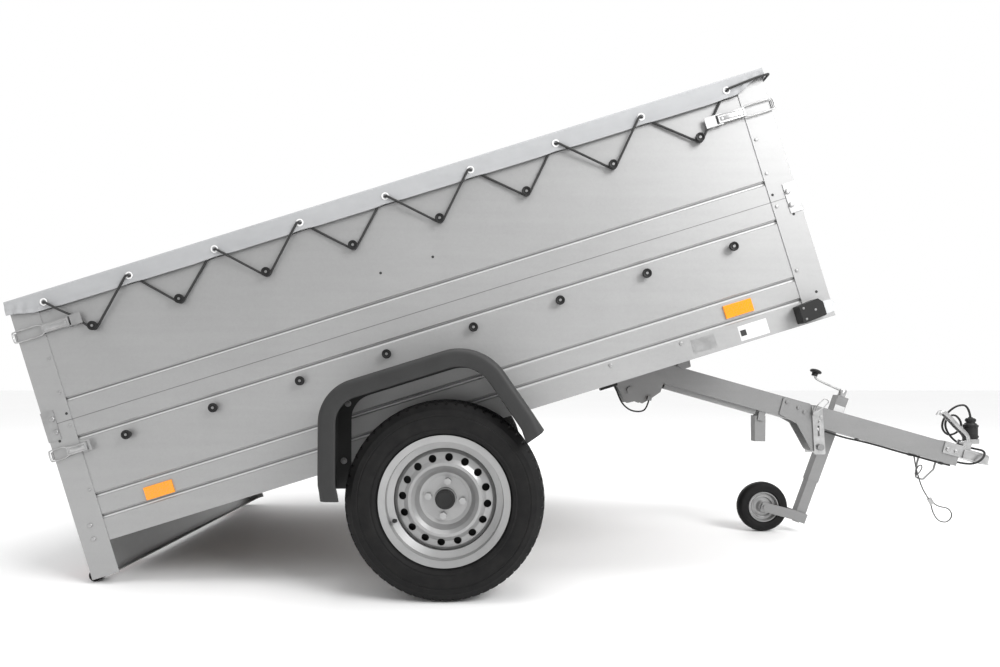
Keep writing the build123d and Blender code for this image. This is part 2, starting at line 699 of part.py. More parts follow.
def fold_gussets():
    """Dark plates bolted to the rear tube that carry the fold bolt and the lock pin."""
    face = bar_width / 2
    outline = [(590, 139), (590, 70), (668, 52), (752, -34), (786, -36), (800, -20), (798, 4), (744, 62),
               (728, 132), (720, 139)]
    plate = slab(outline, face, face + 5, 6)
    plate -= cross_bar(lock_pin_x, lock_pin_z, face - 1, face + 6, lock_pin_r + fit_clearance)
    plate -= cross_bar(fold_x, fold_z, face - 1, face + 6, 8 + fit_clearance)
    bolts = [dome(x, z, face + 5, 8) for x, z in ((608, 123), (656, 114), (684, 103))]
    fold_bolt = cross_bar(fold_x, fold_z, -face - 18, face + 18, 8)
    head = cross_bar(fold_x, fold_z, face + 11.2, face + 20, 13)
    return pair([plate] + bolts) + [fold_bolt + head + mirrored(head)]


def lock_pin():
    """Sliding lock pin with its wire handle on the right side."""
    face = bar_width / 2
    pin = cross_bar(lock_pin_x, lock_pin_z, -face - 26, face + 8, lock_pin_r)
    collar = cross_bar(lock_pin_x, lock_pin_z, -face - 26, -face - 14, 9)
    points = [(lock_pin_x, -face - 20, lock_pin_z), (lock_pin_x + 26, -face - 22, lock_pin_z + 30),
              (lock_pin_x + 44, -face - 22, lock_pin_z + 62), (lock_pin_x + 20, -face - 22, lock_pin_z + 66),
              (lock_pin_x + 2, -face - 22, lock_pin_z + 34), (lock_pin_x, -face - 20, lock_pin_z + 6)]
    path = FilletPolyline(*points, radius=8)
    loop = sweep(Plane(origin=path @ 0, z_dir=path % 0) * Circle(2), path=path)
    return [pin + collar + loop]


def tip_lock():
    """U-shaped catch that hangs under the drawbar and closes on the front of the bed."""
    channel = block(-21, 21, -20, 20, -92, 10)
    channel -= block(-18, 22, -17, 17, -93, 11)
    channel -= cross_bar(0, 0, -21, 21, 5 + fit_clearance)
    channel = fillet(channel.edges().filter_by(Axis.Y).group_by(Axis.Z)[0], 1)
    return [Pos(tip_lock_x, 0, tip_lock_z) * Rot(0, -bar_tilt, 0) * channel]


def fold_plates():
    """Bright plates on the front tube, notched to close over the lock pin."""
    face = bar_width / 2
    outline = [(702, 136), (744, 141), (806, -34), (764, -46)]
    plate = slab(outline, face + 5.4, face + 10.4, 5)
    plate -= cross_bar(fold_x, fold_z, face, face + 12, 8 + fit_clearance)
    plate -= block(690, lock_pin_x, face, face + 12, lock_pin_z - 6, lock_pin_z + 6)
    plate -= cross_bar(lock_pin_x, lock_pin_z, face, face + 12, 6)
    plate -= slab([(745, 66), (752, 67), (764, 28), (757, 27)], face, face + 12)
    spacer = block(745, 754, face - 0.3, face + 5.4, 72, 112)
    bolts = [dome(749, z, face + 10.4, 6) for z in (82, 102)]
    return pair([plate + spacer] + bolts)


def drawbar_front():
    """Front tube with its cable clips, the safety cable's rod hook and the jockey clamp."""
    width = bar_width - 0.6
    tube = bar_tube(front_bar_start, front_bar_end, width, bar_low)
    clips = [block(x - 6, x + 6, -6, 6, bar_low - 10, bar_low) for x in (930.0, 1150.0, 1276.0)]
    points = [(1186, 0, bar_low), (1186, 0, 30), (1196, 0, -24), (1226, 0, -24), (1256, 0, 26), (1256, 0, bar_low)]
    path = FilletPolyline(*points, radius=9)
    hook = sweep(Plane(origin=path @ 0, z_dir=path % 0) * Circle(3.5), path=path)
    pad = block(822, 880, width / 2, jockey_y - jockey_tube / 2, bar_low + 6, bar_low + bar_height - 6)
    lug = block(1157, 1169, -12, -2, bar_low - 5.9, bar_low)
    return [tube, pad, hook, lug] + clips


def jockey_outer():
    """Square outer tube with a top cap, in the jockey's frame."""
    edge = jockey_tube / 2
    cavity = edge - jockey_wall
    tube = block(-edge, edge, -edge, edge, jockey_outer_bottom, jockey_top)
    tube -= block(-cavity, cavity, -cavity, cavity, jockey_outer_bottom - 1, jockey_top + 1)
    cap = block(-cavity, cavity, -cavity, cavity, jockey_top - 10, jockey_top)
    cap -= upright(0, 0, jockey_top - 11, jockey_top + 1, 9 + fit_clearance)
    return [tube + cap]


def jockey_leg():
    """Square inner tube with a nut for the screw and a swivel pin below."""
    edge = jockey_inner / 2
    top = jockey_top - 140
    tube = block(-edge, edge, -edge, edge, jockey_inner_bottom, top)
    tube -= block(-edge + 3, edge - 3, -edge + 3, edge - 3, jockey_inner_bottom + 8, top + 1)
    nut = block(-edge + 3, edge - 3, -edge + 3, edge - 3, top - 24, top)
    nut -= upright(0, 0, top - 25, top + 1, 8.4)
    pin = upright(0, 0, jockey_inner_bottom - 40, jockey_inner_bottom, 9)
    foot = upright(0, 0, jockey_inner_bottom - 44, jockey_inner_bottom - 40, 14)
    return [tube, nut, pin + foot]


def jockey_fork():
    """Trailing fork of two bars that swivels under the leg, with its axle."""
    low = jockey_inner_bottom - 39.6
    high = jockey_inner_bottom - 0.4
    inner = jockey_wheel_width / 2 + 2
    head = block(-36, 22, -inner - 5, inner + 5, low, high) - upright(0, 0, low - 1, high + 1, 9.06)
    arm = slab([(-30, low), (-30, high), (jockey_trail - 14, jockey_axle_z + 19), (jockey_trail - 14, jockey_axle_z - 19)],
               inner, inner + 5, 4)
    axle = cross_bar(jockey_trail, jockey_axle_z, -inner - 9, inner + 9, jockey_axle_r)
    return [head + arm + mirrored(arm) + axle]


def jockey_tyre():
    """Solid rubber jockey tyre."""
    edge = jockey_wheel_width / 2
    ring = revolved([(61, -20), (66, -edge), (90, -edge), (97, -17), (100, -8), (100, 8), (97, 17), (90, edge),
                     (66, edge), (61, 20)])
    return [Pos(jockey_trail, 0, jockey_axle_z) * ring]


def jockey_rim():
    """Pressed jockey wheel with a boss on its axle."""
    ring = revolved([(60.7, -20), (60.7, 20), (56, 20), (50, 6), (24, 4), (20, 24), (8.06, 24), (8.06, -24),
                     (20, -24), (24, -4), (50, -6), (56, -20)])
    return [Pos(jockey_trail, 0, jockey_axle_z) * ring]


def jockey_crank():
    """Screw spindle, crank arm and hand knob on the jockey leg."""
    spindle = upright(0, 0, jockey_top - 200, jockey_top + 12, 8)
    spindle += upright(0, 0, jockey_top - 14, jockey_top + 12, 9)
    head = upright(0, 0, jockey_top + 0.4, jockey_top + 32, 15)
    arm = slab([(0, jockey_top + 24), (0, jockey_top + 32), (knob_reach - 9, jockey_top + 42),
                (knob_reach - 9, jockey_top + 35)], -8, 8)
    post = upright(knob_reach, 0, jockey_top + 38, jockey_top + 57.7, 4.7)
    knob = upright(knob_reach, 0, jockey_top + 43.3, jockey_top + 72, 19) - upright(
        knob_reach, 0, jockey_top + 42, jockey_top + 58, 5)
    knob = fillet(knob.edges().group_by(Axis.Z)[-1], 6)
    return [spindle + head + arm + post, knob]


def coupling_body():
    """Pressed ball coupling over the front tube, with its bolts and plug holder."""
    side = bar_width / 2 + 4
    top = bar_low + bar_height
    saddle = block(1250, front_bar_end + 14, -side, side, coupling_low, top + 4)
    saddle -= block(1249, front_bar_end + 0.3, -bar_width / 2 + 0.3, bar_width / 2 - 0.3, coupling_low - 1, top)
    saddle = fillet(saddle.edges().filter_by(Axis.X).group_by(Axis.Z)[-1], 5)
    nose = block(front_bar_end + 10, ball_x, -38, 38, coupling_low, top - 4) + upright(
        ball_x + 5, 0, coupling_low, top - 4, 38)
    nose = fillet(nose.edges().group_by(Axis.Z)[-1], 12)
    flange = block(front_bar_end + 10, ball_x, -42, 42, coupling_low, coupling_low + 4) + upright(
        ball_x + 5, 0, coupling_low, coupling_low + 4, 42)
    inner_r = ball_r + ball_clearance
    body = saddle + nose + flange
    body -= upright(ball_x, 0, coupling_low - 1, coupling_low + coupling_bore, inner_r)
    body -= Pos(ball_x, 0, coupling_low + coupling_bore) * Sphere(inner_r)
    body -= block(front_bar_end + 18, ball_x - inner_r + 4, -14, 14, coupling_low + coupling_bore + 1, top + 6)
    cheek = slab([(handle_x - 16, top - 6), (handle_x - 14, handle_z + 12), (handle_x + 14, handle_z + 12),
                  (handle_x + 18, top - 10)], 17, 21, 3)
    body += cheek + mirrored(cheek)
    body += cross_bar(handle_x, handle_z, -21, 21, 5)
    body += cross_bar(jaw_pin_x, jaw_pin_z, -20, 20, 4)
    bolts = [dome(x, 116, side, 9) for x in (1267.0, 1300.0)]
    holder = plug_place() * (upright(0, 0, -58, -40, 29) - upright(0, 0, -50.3, -39, plug_r + 0.3))
    stem = block(1384, 1404, 38, 48, coupling_low + 6, 169)
    return [body] + pair(bolts) + [holder + stem]


def coupling_handle():
    """Lift handle over the coupling, turning on a cross pin."""
    hub_ring = cross_bar(handle_x, handle_z, -16, 16, 11)
    arm = slab([(handle_x - 10, handle_z - 2), (handle_x + 9, handle_z + 2), (handle_x + 2, 200), (1250, 250),
                (1222, 254), (1218, 236), (1236, 228), (1326, 190)], -12, 12)
    arm = fillet(arm.edges().filter_by(Axis.Y), 4)
    body = hub_ring + arm
    body -= cross_bar(handle_x, handle_z, -17, 17, 5 + fit_clearance)
    return [body]


def coupling_jaw():
    """Latch jaw that closes behind the ball, turning on the handle's pin line."""
    low = coupling_low + coupling_bore + 3
    jaw = slab([(1340, low), (1340, 142), (1352, 142), (1372, 134), (ball_x - ball_r - 5, low)], -13.6, 13.6)
    jaw -= Pos(ball_x, 0, coupling_low + coupling_bore) * Sphere(ball_r + ball_clearance + 0.6)
    jaw -= cross_bar(jaw_pin_x, jaw_pin_z, -15, 15, 4 + fit_clearance)
    return [jaw]


def plug_place():
    """Upright frame of the parked plug, undoing the drawbar's lean."""
    return Pos(1384, plug_y, 226) * Rot(0, -bar_tilt, 0)


def connector_plug():
    """Round plug standing in its holder, with ribs and a cable gland."""
    body = upright(0, 0, -50, 26, plug_r)
    ribs = upright(0, 0, -34, -26, plug_r + 3) + upright(0, 0, 10, 18, plug_r + 2)
    gland = Pos(0, 0, 36) * Cone(20, 8, 20)
    return [plug_place() * (body + ribs + gland)]


def plug_cable_points():
    """Route of the plug's cable, from the open front of the drawbar to the plug, along the bar."""
    return [(1318, -16, 78), (1346, -34, 78), (1374, -52, 90), (1396, -55, 120), (1404, -40, 148),
            (1398, 0, 150), (1370, 33, 150), (1332, 54, 168), (1290, 52, 204), (1277, 40, 240), (1302, 34, 268),
            (1348, 42, 238), (1362, 76, 200), (1330, 84, 178), (1288, 74, 206), (1284, 58, 262), (1312, 48, 306),
            (1352, 43, 316), (1371.4, plug_y, 270.6)]


def arc_radii(points):
    """Largest tidy arc at each corner of a free cord's route."""
    radii = []
    for before, at, after in zip(points, points[1:], points[2:]):
        first = Vector(*at) - Vector(*before)
        second = Vector(*after) - Vector(*at)
        turn = math.radians(first.get_angle(second))
        radii.append(0.45 * min(first.length, second.length) / math.tan(turn / 2))
    return radii


def free_cord(points, radius):
    """Plain tube of a free cord, with its radii printed."""
    radii = arc_radii(points)
    print("radii", [round(value) for value in radii])
    return tube_along(points, radii, radius)


def hook_point(forward, up):
    """Point hung from the rod hook: forward and up are level and plumb."""
    lean = math.radians(bar_tilt)
    return (1206 + forward * math.cos(lean) - up * math.sin(lean), -7.0,
            -24 + forward * math.sin(lean) + up * math.cos(lean))


def safety_cable():
    """Breakaway cable that hangs from the drawbar past the rod hook, with its end loop."""
    route = [(-20, 87.1), (-14, 50), (-3, 6), (14, -44), (44, -90), (54, -136), (76, -170), (112, -176), (134, -148),
             (118, -118), (72, -102)]
    return free_cord([hook_point(forward, up) for forward, up in route], 2.5)


def hinge_cable():
    """Slack loop of cable from the junction box to the drawbar, in the bed's frame."""
    points = [(1782, -62, -46.3), (1783, -61, -86), (1790, -58, -124), (1812, -55, -156), (1846, -51, -172),
              (1874.3, -46, -170.6), (1894.3, -46, -139.8)]
    return free_cord(points, 3.0)


def junction_box():
    """Cable junction box under the right centre rail."""
    low = floor_level - 70
    box = block(1722, 1790, -rail_face - rail_width + 2, -rail_face - 2, low - 54, low)
    box = fillet(box.edges().filter_by(Axis.X), 4)
    return [box]


def placed(place, shapes):
    """Shapes moved into the trailer's standing place."""
    return [place * shape for shape in shapes]


def build_nodes():
    """Every node's solids, in the standing pose."""
    lens_parts = front_lamp()
    rear_parts = rear_lamp()
    lower = side_panel(0, lower_height, lower_grooves)
    upper_rise = lower_height + seam_gap
    upper = side_panel(upper_rise, box_top, [upper_rise + height for height in upper_grooves])
    upper_board = end_board(upper_low, upper_high, [upper_rise + height for height in upper_grooves[:1]])
    front_board = end_mirrored(end_board(floor_level + seam_gap, board_high, (lower_grooves[2],)))
    lace, lace_radii = lace_points()
    lace_solid = tube_along(lace, lace_radii, lace_r)
    upper_lever = latch_lever(upper_latch_x, upper_latch_z, 80)
    lower_lever = latch_lever(lower_latch_x, lower_latch_z, 58)
    bed = {
        "floor_panel": floor_panel(),
        "floor_frame": floor_frame(),
        "axle_beam": axle_beam(),
        "lower_side_left": [lower],
        "lower_side_right": [mirrored(lower)],
        "upper_side_left": [upper],
        "upper_side_right": [mirrored(upper)],
        "corner_posts": corner_posts(),
        "front_board": [front_board],
        "lamp_beam": lamp_beam(),
        "lamp_housings": pair([lens_parts[0], rear_parts[0]]),
        "front_lamp_lenses": pair([lens_parts[1]]),
        "rear_lamp_lenses": pair([rear_parts[1]]),
        "side_reflectors": reflectors(),
        "cover_hooks_and_eyelets": hooks_and_eyelets(),
        "zinc_hardware": hardware(),
        "mudguard_left": [mudguard()],
        "mudguard_right": [mirrored(mudguard())],
        "cover_sheet": cover_sheet(),
        "cover_rear_flap": [cover_flap()],
        "cover_front_flap": [end_mirrored(cover_flap())],
        "cover_lacing": pair([lace_solid]),
        "junction_box": junction_box(),
        "hinge_cable": [hinge_cable()],
        "tailgate": [end_board(tailgate_low, board_high, lower_grooves[1:])] + pair([keeper(lower_latch_z)]),
        "upper_rear_board": [upper_board] + pair([keeper(upper_latch_z)]),
        "upper_front_board": [end_mirrored(upper_board)] + pair([end_mirrored(keeper(upper_latch_z))]),
        "stand_rollers": stand_rollers(),
        "latch_upper_rear_left": [upper_lever],
        "latch_upper_rear_right": [mirrored(upper_lever)],
        "latch_upper_front_left": [end_mirrored(upper_lever)],
        "latch_upper_front_right": [mirrored(end_mirrored(upper_lever))],
        "latch_tailgate_left": [lower_lever],
        "latch_tailgate_right": [mirrored(lower_lever)],
        "axle_arm_left": [axle_arm()],
        "axle_arm_right": [mirrored(axle_arm())],
    }
    wheel_place = Pos(wheel_x, wheel_y, -wheel_drop)
    for name, shapes in (("tyre", [tyre()]), ("rim", [rim()]), ("hub", hub())):
        left = placed(wheel_place, shapes)
        bed[name + "_left"] = left
        bed[name + "_right"] = [mirrored(shape) for shape in left]
    bar = {
        "drawbar_rear": drawbar_rear(),
        "fold_gussets": fold_gussets(),
        "fold_lock_pin": lock_pin(),
        "tip_lock": tip_lock(),
        "drawbar_front": drawbar_front(),
        "fold_plates": fold_plates(),
        "coupling_body": coupling_body(),
        "coupling_handle": coupling_handle(),
        "coupling_jaw": coupling_jaw(),
        "connector_plug": connector_plug(),
        "plug_cable": [free_cord(plug_cable_points(), 4.0)],
        "safety_cable": [safety_cable()],
    }
    jockey = {
        "jockey_outer_tube": jockey_outer(),
        "jockey_leg": jockey_leg(),
        "jockey_fork": jockey_fork(),
        "jockey_tyre": jockey_tyre(),
        "jockey_rim": jockey_rim(),
        "jockey_crank": jockey_crank(),
    }
    nodes = {name: placed(bed_place, shapes) for name, shapes in bed.items()}
    nodes.update({name: placed(bar_place, shapes) for name, shapes in bar.items()})
    nodes.update({name: placed(bar_place * jockey_place, shapes) for name, shapes in jockey.items()})
    return nodes


def main():
    """Build, centre on the footprint and write one STEP file per node."""
    nodes = build_nodes()
    rear = nodes["cover_sheet"][0].bounding_box().min.X
    front = nodes["coupling_body"][0].bounding_box().max.X
    origin = Pos(-(rear + front) / 2, 0, 0)
    print("origin moved by", origin.position.X, "tilts", bed_tilt, bar_tilt)
    print("length", front - rear)
    os.makedirs("parts", exist_ok=True)
    for name, shapes in nodes.items():
        solids = [solid for shape in shapes for solid in (origin * shape).solids()]
        export_step(Compound(children=solids), "parts/" + name + ".step")
    print(len(nodes), "nodes")


main()
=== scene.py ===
"""Looks of the tipping box trailer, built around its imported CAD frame."""

import json
import logging
import math
from dataclasses import dataclass
from enum import Enum
from typing import Any, Callable, Sequence

import bpy
from mathutils import Matrix, Vector, noise


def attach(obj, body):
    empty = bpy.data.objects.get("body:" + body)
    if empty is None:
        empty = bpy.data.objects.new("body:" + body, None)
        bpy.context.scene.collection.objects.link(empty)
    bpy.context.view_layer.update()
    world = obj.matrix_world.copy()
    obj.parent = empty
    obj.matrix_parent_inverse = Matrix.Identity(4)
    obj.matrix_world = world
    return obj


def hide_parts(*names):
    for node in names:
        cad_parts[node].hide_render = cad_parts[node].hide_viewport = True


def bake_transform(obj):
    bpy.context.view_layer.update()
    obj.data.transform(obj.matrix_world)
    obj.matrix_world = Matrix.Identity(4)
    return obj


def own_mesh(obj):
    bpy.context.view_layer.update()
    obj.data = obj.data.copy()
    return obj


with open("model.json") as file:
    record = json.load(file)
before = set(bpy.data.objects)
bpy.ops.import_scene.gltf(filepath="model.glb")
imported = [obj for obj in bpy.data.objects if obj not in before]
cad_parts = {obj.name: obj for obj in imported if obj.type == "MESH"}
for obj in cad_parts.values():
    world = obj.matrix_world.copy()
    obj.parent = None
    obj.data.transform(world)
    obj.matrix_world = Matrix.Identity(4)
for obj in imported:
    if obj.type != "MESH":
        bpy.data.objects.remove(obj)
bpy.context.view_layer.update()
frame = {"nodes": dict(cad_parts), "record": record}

log = logging.getLogger("trailer")
Point = tuple[float, float, float]

HALF_WIDTH = 0.635
BOX_LENGTH = 2.379
TAILGATE_PIN_AHEAD = 0.014
TAILGATE_PIN_ABOVE = 0.018
FOLD_BOLT_AHEAD = 0.777
FOLD_BOLT_BELOW = 0.013
SEAM_HEIGHT = 0.3822
FACING = 0.9
SMOOTH_ROUND = 60


class Side(Enum):
    """Side of the trailer, looking forward."""

    LEFT = 1.0
    RIGHT = -1.0

    @property
    def word(self) -> str:
        """The side as the names of pieces say it."""
        return self.name.lower()

    @property
    def outward(self) -> Matrix:
        """Turn that points a shape's Z axis out of this side."""
        return Matrix.Rotation(-self.value * math.pi / 2, 4, "X")


@dataclass(frozen=True)
class Place:
    """A tilted frame of the trailer, in which a sub-assembly is drawn level."""

    origin: Vector
    along: Vector
    up: Vector

    def at(self, x: float, y: float, z: float) -> Vector:
        """Point of this frame in the trailer's own frame."""
        return self.origin + self.along * x + Vector((0, 1, 0)) * y + self.up * z

    def matrix(self, x: float = 0.0, y: float = 0.0, z: float = 0.0) -> Matrix:
        """Transform that carries a shape drawn at the origin to a point of this frame."""
        turn = Matrix((self.along, Vector((0, 1, 0)), self.up)).transposed()
        return Matrix.Translation(self.at(x, y, z)) @ turn.to_4x4()


def joint(name: str) -> dict[str, Any]:
    """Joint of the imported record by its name."""
    return next(item for item in frame["record"]["behaviour"]["joints"] if item["name"] == name)


def bed_frame() -> Place:
    """Frame of the box: its origin is the rear bottom edge, in the middle."""
    up = Vector(joint("latch_upper_rear_left_open")["axis"]).normalized()
    along = Vector((up.z, 0, -up.x))
    pivot = Vector(joint("tailgate_fold")["pos_m"])
    return Place(pivot - along * TAILGATE_PIN_AHEAD - up * TAILGATE_PIN_ABOVE, along, up)


def bar_frame() -> Place:
    """Frame of the drawbar: its origin is the tipping bolt."""
    origin = Vector(joint("tip_hinge")["pos_m"])
    fold = Vector(joint("drawbar_fold")["pos_m"]) - origin
    lean = math.atan2(-fold.z, fold.x) - math.atan2(FOLD_BOLT_BELOW, FOLD_BOLT_AHEAD)
    along = Vector((math.cos(lean), 0, -math.sin(lean)))
    return Place(origin, along, Vector((-along.z, 0, along.x)))


BED = bed_frame()
BAR = bar_frame()
WHEEL = Vector(joint("wheel_spin_left")["pos_m"])


# ---------------------------------------------------------------- shader maths


class Shade:
    """A value or colour socket on which Python's operators add Math nodes."""

    def __init__(self, paint: "Paint", socket: Any) -> None:
        """Wraps a socket of a paint's node tree."""
        self.paint = paint
        self.socket = socket

    def _math(self, operation: str, first: Any, second: Any) -> "Shade":
        """Adds one Math node and wraps its result."""
        return self.paint.node("ShaderNodeMath", {"operation": operation}, {0: first, 1: second})

    def __add__(self, other: Any) -> "Shade":
        """Sum."""
        return self._math("ADD", self, other)

    __radd__ = __add__

    def __sub__(self, other: Any) -> "Shade":
        """Difference."""
        return self._math("SUBTRACT", self, other)

    def __rsub__(self, other: Any) -> "Shade":
        """Difference, reflected."""
        return self._math("SUBTRACT", other, self)

    def __mul__(self, other: Any) -> "Shade":
        """Product."""
        return self._math("MULTIPLY", self, other)

    __rmul__ = __mul__

    def __truediv__(self, other: Any) -> "Shade":
        """Quotient."""
        return self._math("DIVIDE", self, other)

    def __pow__(self, other: Any) -> "Shade":
        """Power."""
        return self._math("POWER", self, other)

    def clamped(self) -> "Shade":
        """Value held between nought and one."""
        return self.paint.node("ShaderNodeClamp", {}, {0: self})


class Paint:
    """One material with its Principled shader, and the one method that makes its nodes."""

    def __init__(self, name: str) -> None:
        """Starts a material of this name."""
        self.material = bpy.data.materials.new(name)
        self.material.use_nodes = True
        self.tree = self.material.node_tree
        self.shader = self.tree.nodes["Principled BSDF"]
        self.place = self.tree.nodes.new("ShaderNodeTexCoord").outputs["Object"]

    def node(self, kind: str, settings: dict[str, Any], values: dict[Any, Any], out: Any = 0) -> Shade:
        """Makes one node.

        Args:
            kind: The node's type.
            settings: Its properties, which are set first.
            values: Numbers, colours or links for its inputs, by name or number.
            out: The output that is wanted.

        Returns:
            The chosen output, wrapped.
        """
        made = self.tree.nodes.new(kind)
        for key, value in settings.items():
            setattr(made, key, value)
        for key, value in values.items():
            self.link(made.inputs[key], value)
        return Shade(self, made.outputs[out])

    def link(self, socket: Any, value: Any) -> None:
        """Links or sets one input."""
        if isinstance(value, Shade):
            self.tree.links.new(value.socket, socket)
        elif isinstance(value, bpy.types.NodeSocket):
            self.tree.links.new(value, socket)
        else:
            socket.default_value = value

    def set(self, **values: Any) -> None:
        """Sets or links the shader's inputs, with _ for a blank in their names."""
        for key, value in values.items():
            self.link(self.shader.inputs[key.replace("_", " ")], value)

    def noise(self, scale: float, detail: float = 3.0, rough: float = 0.5,
              stretch: Point = (1, 1, 1)) -> Shade:
        """Noise on object coordinates, stretched if wanted."""
        place = self.node("ShaderNodeMapping", {}, {"Vector": self.place, "Scale": stretch})
        return self.node("ShaderNodeTexNoise", {}, {"Vector": place, "Scale": scale, "Detail": detail,
                                                    "Roughness": rough})

    def cells(self, scale: float, stretch: Point = (1, 1, 1), out: Any = 0) -> Shade:
        """Voronoi cells on object coordinates."""
        place = self.node("ShaderNodeMapping", {}, {"Vector": self.place, "Scale": stretch})
        return self.node("ShaderNodeTexVoronoi", {}, {"Vector": place, "Scale": scale}, out)

    def wave(self, scale: float, axis: str) -> Shade:
        """Bands across one axis."""
        return self.node("ShaderNodeTexWave", {"bands_direction": axis},
                         {"Vector": self.place, "Scale": scale})

    def mix(self, amount: Any, first: Any, second: Any) -> Shade:
        """Blend of two colours."""
        return self.node("ShaderNodeMix", {"data_type": "RGBA"}, {0: amount, 6: first, 7: second}, 2)

    def bump(self, height: Shade, strength: float, distance: float) -> None:
        """Feeds the shader's normal from a height."""
        self.set(Normal=self.node("ShaderNodeBump", {}, {"Strength": strength, "Distance": distance,
                                                         "Height": height}))


def grey(value: float) -> tuple[float, float, float, float]:
    """Grey colour of one brightness."""
    return (value, value, value, 1.0)


def tone(red: float, green: float, blue: float) -> tuple[float, float, float, float]:
    """Colour with full alpha."""
    return (red, green, blue, 1.0)


@dataclass(frozen=True)
class Galvanised:
    """Hot-dip zinc sheet: fine spangle and rolled streaks, with painted shade and painted highlights along
    its folds and seams.
    """

    name: str = "galvanised_sheet"
    dark: float = 0.30
    light: float = 0.43
    grooves: tuple[float, ...] = ()
    seams: tuple[float, ...] = ()

    def band(self, height: Shade, spots: Sequence[float], half: float) -> Shade:
        """One inside soft bands at some heights of the box, else nought."""
        return sum((1.0 - self.away(height - spot) / half).clamped() for spot in spots)

    def away(self, value: Shade) -> Shade:
        """Distance from nought."""
        return (value * value) ** 0.5

    def folded(self, paint: Paint, base: Shade) -> Shade:
        """Paints light and shade on the folds: a painted shadow under each upper lip and along each seam, a
        painted highlight along each lower lip.
        """
        height = paint.node("ShaderNodeVectorMath", {"operation": "DOT_PRODUCT"},
                            {0: paint.place, 1: tuple(BED.up)}, "Value") - BED.origin.dot(BED.up)
        # Mask of the painted shadow line along each seam.
        seam = self.band(height, self.seams, 0.0015)
        # Colour of the painted shadow under the upper lips and along the seams.
        shadow = grey(0.035)
        if not self.grooves:
            return paint.mix((seam * 0.8).clamped(), base, shadow)
        # Masks of the painted shadow above each groove and of the painted highlight below it.
        shaded = self.band(height, [spot + 0.0016 for spot in self.grooves], 0.0030)
        lit = self.band(height, [spot - 0.0034 for spot in self.grooves], 0.0034)
        # Painted highlight first, then the painted shadow over it.
        base = paint.mix(lit * 0.75, base, grey(0.78))
        return paint.mix((shaded * 0.88 + seam * 0.8).clamped(), base, shadow)

    def make(self) -> bpy.types.Material:
        """Builds the material."""
        paint = Paint(self.name)
        flake = paint.node("ShaderNodeRGBToBW", {}, {0: paint.cells(150.0, out="Color")})
        fine = paint.noise(320.0, 2.0, 0.6)
        cloud = paint.noise(2.6, 4.0, 0.55)
        streak = paint.noise(46.0, 3.0, 0.55, (0.05, 1.0, 1.0))
        mottle = (flake * 0.14 + fine * 0.22 + cloud * 0.38 + streak * 0.26).clamped()
        base = paint.mix(mottle, grey(self.dark), grey(self.light))
        if self.seams:
            base = self.folded(paint, base)
        paint.set(Base_Color=base, Metallic=0.55,
                  Roughness=(0.34 + fine * 0.10 + cloud * 0.14 + flake * 0.06))
        paint.bump(flake * 0.4 + fine * 0.3 + streak * 0.3, 0.08, 0.0005)
        return paint.material


@dataclass(frozen=True)
class ZincPlate:
    """Bright zinc plating on pressed and turned pieces."""

    name: str = "bright_zinc"
    dark: float = 0.30
    light: float = 0.54
    rough: float = 0.20

    def make(self) -> bpy.types.Material:
        """Builds the material."""
        paint = Paint(self.name)
        cloud = paint.noise(42.0, 4.0, 0.55)
        scratch = paint.noise(180.0, 2.0, 0.5, (0.15, 1.0, 1.0))
        paint.set(Base_Color=paint.mix((cloud * 1.2 - 0.1).clamped(), grey(self.dark), grey(self.light)),
                  Metallic=0.9, Roughness=(self.rough + cloud * 0.16 + scratch * 0.08))
        paint.bump(scratch, 0.06, 0.0004)
        return paint.material


@dataclass(frozen=True)
class Lacquer:
    """Silver wheel lacquer with a fine flake."""

    name: str = "wheel_silver"
    dark: float = 0.27
    light: float = 0.36

    def make(self) -> bpy.types.Material:
        """Builds the material."""
        paint = Paint(self.name)
        flake = paint.noise(900.0, 1.0, 0.5)
        dust = paint.noise(18.0, 5.0, 0.6)
        paint.set(Base_Color=paint.mix(dust, grey(self.dark), grey(self.light)), Metallic=0.55,
                  Roughness=(0.30 + dust * 0.18))
        paint.shader.inputs["Coat Weight"].default_value = 0.35
        paint.bump(flake, 0.05, 0.0002)
        return paint.material


@dataclass(frozen=True)
class Moulded:
    """Moulded plastic or rubber with a leathery grain."""

    name: str
    shade: float = 0.03
    grain: float = 700.0
    rough: float = 0.5
    relief: float = 0.25

    def make(self) -> bpy.types.Material:
        """Builds the material."""
        paint = Paint(self.name)
        pores = paint.cells(self.grain)
        dust = paint.noise(14.0, 5.0, 0.62)
        paint.set(Base_Color=paint.mix(dust, grey(self.shade * 0.8), grey(self.shade * 1.35)),
                  Roughness=(self.rough + dust * 0.16))
        paint.shader.inputs["Specular IOR Level"].default_value = 0.3
        paint.bump(pores + dust * 0.4, self.relief, 0.0005)
        return paint.material


@dataclass(frozen=True)
class TyreRubber:
    """Road tyre rubber with patchy dust."""

    name: str = "tyre_rubber"

    def make(self) -> bpy.types.Material:
        """Builds the material."""
        paint = Paint(self.name)
        dust = paint.noise(22.0, 6.0, 0.65)
        fine = paint.noise(600.0, 2.0, 0.5)
        paint.set(Base_Color=paint.mix((dust * 1.5 - 0.35).clamped(), tone(0.005, 0.005, 0.0055),
                                       tone(0.017, 0.0165, 0.016)),
                  Roughness=(0.44 + dust * 0.22))
        paint.shader.inputs["Specular IOR Level"].default_value = 0.14
        paint.bump(fine * 0.6 + dust * 0.4, 0.15, 0.0006)
        return paint.material


